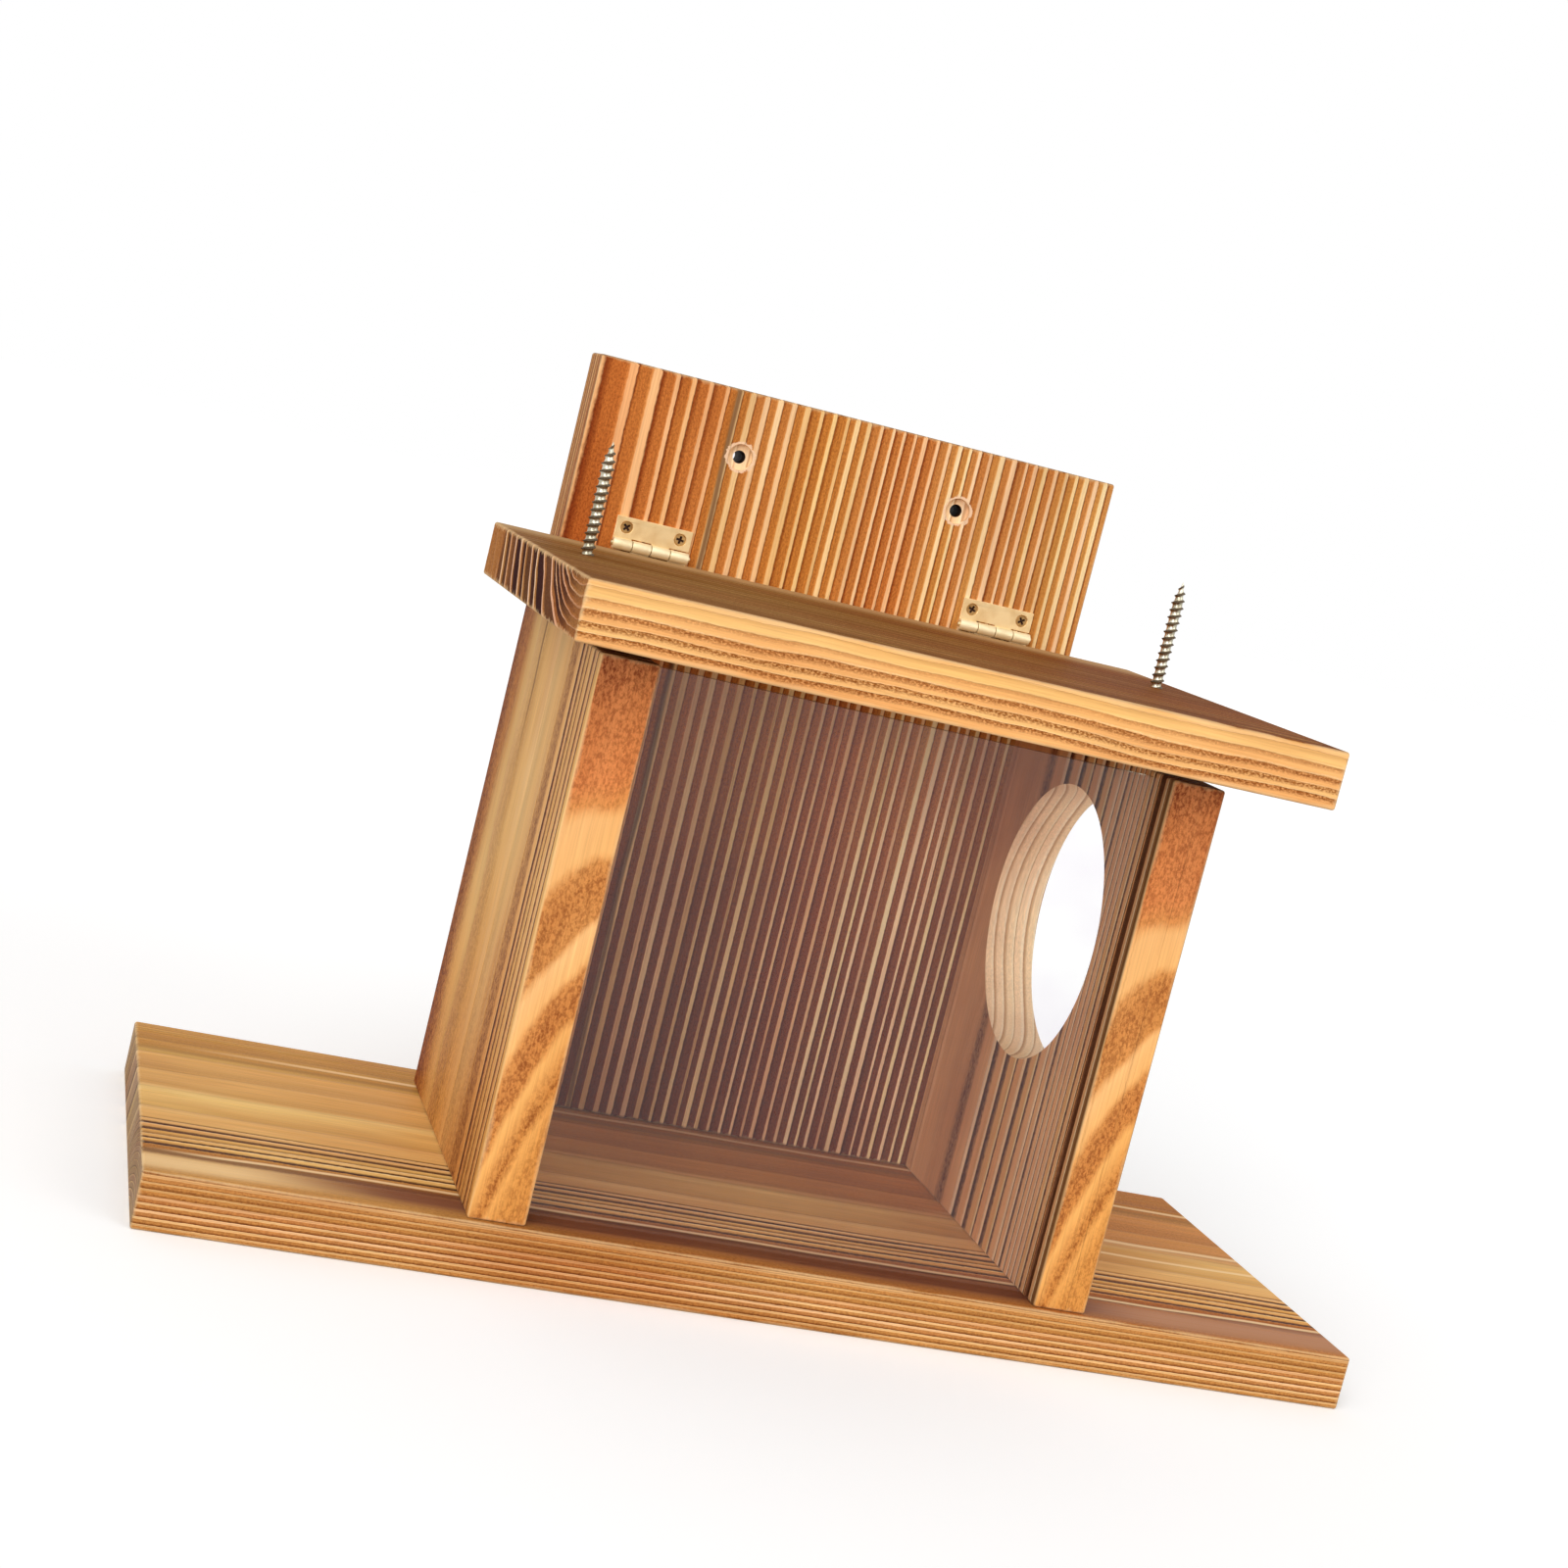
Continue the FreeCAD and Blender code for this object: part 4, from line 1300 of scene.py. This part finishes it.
@dataclass
class BoardAndHingeScrews:
    """Every small screw of the feeder, from its place in the frame."""

    # the heads' brass is darker than the leaves' brass: painted shade over the screw heads
    brassed: PlatedMetal = PlatedMetal("brassed_screw_steel_painted_shade", "#c8a068", "#8a6638", roughness=0.38)
    zinc: PlatedMetal = PlatedMetal("zinc_plated_steel", "#cfcbbd", "#97917f", roughness=0.36)
    recess: DarkRecess = DarkRecess()

    # the shank's share of the head's radius, and the length of the tip in millimetres
    LEAF_SCREW = (1.0 / 1.9, 2.0)
    WOOD_SCREW = (0.5, 4.0)

    # how far the recess of each screw is turned, in degrees
    TURNS = {"left": (45.0, 10.0), "right": (20.0, 60.0), "back": (30.0, 75.0)}

    def build(self) -> None:
        """Build the hinge screws and the screws that hold the boards."""
        brassed = self.brassed.material()
        zinc = self.zinc.material()
        recess = self.recess.material()
        brassed_coat = (brassed, recess, "brassed_screw")
        zinc_coat = (zinc, recess, "zinc_steel")
        for hand in HANDS:
            for row, body, drive, size, coat in (
                ("hinge_wall_screws", "house", Drive.TO_WALL, self.LEAF_SCREW, brassed_coat),
                ("hinge_lid_screws", "lid", Drive.TO_FRONT_ALONG, self.LEAF_SCREW, brassed_coat),
                ("base_screws", "house", Drive.UP_DEEP, self.WOOD_SCREW, zinc_coat),
                ("back_screws", "house", Drive.TO_FRONT_UP, self.WOOD_SCREW, zinc_coat),
            ):
                ScrewPair(f"{hand}_{row}", body, drive, *size, self.TURNS[hand]).build(*coat)
        back = ScrewPair("back_base_screws", "house", Drive.UP_ALONG, *self.WOOD_SCREW, self.TURNS["back"])
        back.build(*zinc_coat)


@dataclass
class CobScrew:
    """Long threaded screw that stands up through the lid, with its head below."""

    hand: str
    shank_mm: float = 2.0
    root_mm: float = 1.4
    pitch_mm: float = 2.2
    tip_mm: float = 6.5
    tip_curve: float = 0.8
    tip_crest: float = 2.2
    head_chamfer_mm: float = 1.0
    head_round: float = 0.3
    recess_mm: float = 2.0
    recess_turn_deg: float = 25.0
    below_lid_top_mm: float = 3.0
    steps: int = 36
    sharp_deg: float = 50.0
    cross: CrossRecess = CrossRecess()

    # shares of one pitch, and how far the ridge stands there from root to crest
    RIDGE = ((0.0, 0.0), (0.14, 0.0), (0.3, 0.12), (0.42, 0.62), (0.48, 1.0), (0.54, 1.0), (0.6, 0.55),
             (0.72, 0.1), (0.86, 0.0))
    # the ridge's flanks that take painted shade
    DARK_FLANKS = range(3, 7)

    def build(self, metal: bpy.types.Material, root: bpy.types.Material) -> None:
        """Build the screw in place of its CAD node.

        Args:
            metal: the screw's plating.
            root: the painted shade that lies on the thread's flanks and in the head's recess.
        """
        node = f"{self.hand}_cob_screw"
        low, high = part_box(node)
        lid_low, lid_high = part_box("lid_board")
        axis = Vector(((low.x + high.x) / 2, (low.y + high.y) / 2, 0.0))
        thread_low = lid_high.z - self.below_lid_top_mm * MM
        shape = bmesh.new()
        self._head(shape, axis, (high.x - low.x) / 2, low.z, lid_low.z, thread_low)
        self._thread(shape, axis, thread_low, high.z)
        made = link_mesh(f"{node}_threaded", shape, metal, root)
        made.data.shade_smooth()
        made.data.set_sharp_from_angle(angle=math.radians(self.sharp_deg))
        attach(made, "lid")
        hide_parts(node)
        log.info("built %s", made.name)

    def _head(
        self, shape: bmesh.types.BMesh, axis: Vector, radius: float, bottom: float, seat: float, top: float
    ) -> None:
        """Turn the pan head and the plain shank above it.

        Args:
            shape: the shape that they join.
            axis: the screw's axis at the row frame's floor.
            radius: the head's radius.
            bottom: the height of the head's flat end.
            seat: the height of the lid's underside.
            top: the height where the thread takes over.
        """
        chamfer = self.head_chamfer_mm * MM
        shank = self.root_mm * MM
        profile = [
            (radius - chamfer, bottom),
            (radius - self.head_round * chamfer, bottom + self.head_round * chamfer),
            (radius, bottom + chamfer),
            (radius, seat),
            (shank, seat),
            (shank, top),
        ]
        rings = turn_profile(shape, profile, self.steps, Matrix.Translation(axis))
        place = Matrix.Translation(axis + Vector((0.0, 0.0, bottom)))
        depth = self.recess_mm * MM
        self.cross.sink(shape, rings[0], radius - chamfer, depth, place, self.recess_turn_deg)

    def _thread(self, shape: bmesh.types.BMesh, axis: Vector, bottom: float, top: float) -> None:
        """Sweep the thread's ridge along its helix, and draw it in to the point.

        Args:
            shape: the shape that it joins.
            axis: the screw's axis at the row frame's floor.
            bottom: the height where the thread starts.
            top: the height of the point.
        """
        pitch = self.pitch_mm * MM
        count = math.ceil((top - bottom) / pitch + 2) * self.steps
        rows = []
        for step in range(count + 1):
            angle = 2 * math.pi * step / self.steps
            climb = bottom + pitch * (step / self.steps - 1)
            row = []
            for share, rise in self.RIDGE:
                height = min(max(climb + pitch * share, bottom), top)
                left = min(1.0, (top - height) / (self.tip_mm * MM))
                root = self.root_mm * MM * left ** self.tip_curve
                crest = root + (self.shank_mm - self.root_mm) * MM * min(1.0, self.tip_crest * left)
                row.append(shape.verts.new(axis + polar(root + (crest - root) * rise, angle, height)))
            rows.append(row)
        for step in range(count - self.steps):
            # each row ends where the row one turn higher starts
            here = rows[step] + rows[step + self.steps][:1]
            following = rows[step + 1] + rows[step + 1 + self.steps][:1]
            for part in range(len(self.RIDGE)):
                corners = (here[part], following[part], following[part + 1], here[part + 1])
                shape.faces.new(corners).material_index = int(part in self.DARK_FLANKS)
        spare = [corner for corner in shape.verts if not corner.link_faces]
        bmesh.ops.delete(shape, geom=spare, context="VERTS")


def towards(azimuth_deg: float, elevation_deg: float) -> Vector:
    """Return a step of one towards a place round the object.

    Args:
        azimuth_deg: where it stands, round from the front to the right.
        elevation_deg: how high it stands.

    Returns:
        The step.
    """
    azimuth, elevation = math.radians(azimuth_deg), math.radians(elevation_deg)
    level = math.cos(elevation)
    return Vector((math.sin(azimuth) * level, -math.cos(azimuth) * level, math.sin(elevation)))


@dataclass
class Studio:
    """Plain white room, with the camera where the photograph was taken from."""

    azimuth_deg: float = -16.564
    elevation_deg: float = 6.901
    roll_deg: float = 14.033
    position_mm: tuple[float, float, float] = (-230.21, -711.33, 229.66)
    lens_mm: float = 60.224
    sensor_mm: float = 36.0
    clip_start: float = 0.01
    floor_size: float = 12.0
    ambient: float = 0.6
    floor_lift: float = 0.12
    floor_seen: str = "#ffffff"
    floor_tone: str = "#ececec"

    def build(self) -> None:
        """Set up the floor, the light and the camera."""
        scene = bpy.context.scene
        scene.view_settings.view_transform = "Standard"
        self._world(scene)
        self._floor()
        self._lamp("key", azimuth_deg=-32.0, elevation_deg=46.0, softness_deg=50.0, strength=1.05)
        self._lamp("left_fill", azimuth_deg=-36.0, elevation_deg=8.0, softness_deg=24.0, strength=1.0)
        self._lamp("right_fill", azimuth_deg=46.0, elevation_deg=14.0, softness_deg=40.0, strength=0.6)
        self._camera(scene)

    def _world(self, scene: bpy.types.Scene) -> None:
        """Show a white room to the camera and to gloss, and light the object at a plain level.

        Args:
            scene: the scene.
        """
        world = bpy.data.worlds.new("white_room")
        world.use_nodes = True
        world.node_tree.nodes.clear()
        add = partial(add_node, world.node_tree)
        path = add("LightPath").outputs
        seen = add("Math", {0: path["Is Camera Ray"], 1: path["Is Glossy Ray"]}, operation="MAXIMUM")
        seen = add("Math", {0: seen, 1: path["Is Transmission Ray"]}, operation="MAXIMUM")
        strength = add("MapRange", {0: seen, 3: self.ambient})
        room = add("Background", {"Color": WHITE, "Strength": strength})
        add("OutputWorld", {"Surface": room})
        scene.world = world

    def _floor(self) -> None:
        """Lay a pale floor under the feeder."""
        material, add = new_material("white_paper_floor")
        seen = add("LightPath").outputs["Is Camera Ray"]
        tone = add("MixRGB", {0: seen, 1: linear(self.floor_tone), 2: linear(self.floor_seen)})
        paper = add("BsdfDiffuse", {"Color": tone})
        lift = add("Math", {0: seen, 1: self.floor_lift}, operation="MULTIPLY")
        glow = add("Emission", {"Strength": lift})
        shader = add("AddShader", {0: paper, 1: glow})
        add("OutputMaterial", {"Surface": shader})
        shape = bmesh.new()
        bmesh.ops.create_grid(shape, x_segments=1, y_segments=1, size=self.floor_size / 2)
        floor = link_mesh("studio_floor", shape, material)

    def _lamp(
        self, name: str, azimuth_deg: float, elevation_deg: float, softness_deg: float, strength: float
    ) -> None:
        """Light the feeder softly and evenly from one side.

        Args:
            name: the lamp's name.
            azimuth_deg: where the light comes from, round from the front to the right.
            elevation_deg: how high it stands.
            softness_deg: how wide it looks.
            strength: its power on a square metre that faces it.
        """
        light = bpy.data.lights.new(name, "SUN")
        light.angle = math.radians(softness_deg)
        light.energy = strength
        lamp = bpy.data.objects.new(name, light)
        aim = -towards(azimuth_deg, elevation_deg)
        lamp.rotation_euler = aim.to_track_quat("-Z", "Y").to_euler()
        bpy.context.scene.collection.objects.link(lamp)

    def _camera(self, scene: bpy.types.Scene) -> None:
        """Put the camera where the photograph was taken from.

        Args:
            scene: the scene.
        """
        azimuth, roll = math.radians(self.azimuth_deg), math.radians(self.roll_deg)
        back = towards(self.azimuth_deg, self.elevation_deg)
        level = Vector((math.cos(azimuth), math.sin(azimuth), 0.0))
        up = back.cross(level)
        right = math.cos(roll) * level + math.sin(roll) * up
        upright = math.cos(roll) * up - math.sin(roll) * level
        lens = bpy.data.cameras.new("photograph")
        lens.lens = self.lens_mm
        lens.sensor_width = self.sensor_mm
        lens.clip_start = self.clip_start
        camera = bpy.data.objects.new("photograph", lens)
        turn = Matrix((right, upright, back)).transposed().to_4x4()
        camera.matrix_world = Matrix.Translation(Vector(self.position_mm) * MM) @ turn
        scene.collection.objects.link(camera)
        scene.camera = camera


def main() -> None:
    """Build the looks of every sub-assembly in order."""
    logging.basicConfig(level=logging.INFO)
    Boards().build()
    FrontPane().build()
    Hinges().build()
    BoardAndHingeScrews().build()
    spike_steel = PlatedMetal("zinc_spike_steel", "#d6d0bb", "#a39a80", roughness=0.3).material()
    # painted shade for the thread's flanks and the head's recess
    thread_shade = DarkRecess(name="thread_painted_shade", colour="#6a563a", smudge="#3a2c1a").material()
    for hand in HANDS:
        CobScrew(hand).build(spike_steel, thread_shade)
    Studio().build()


if __name__ == "__main__":
    main()
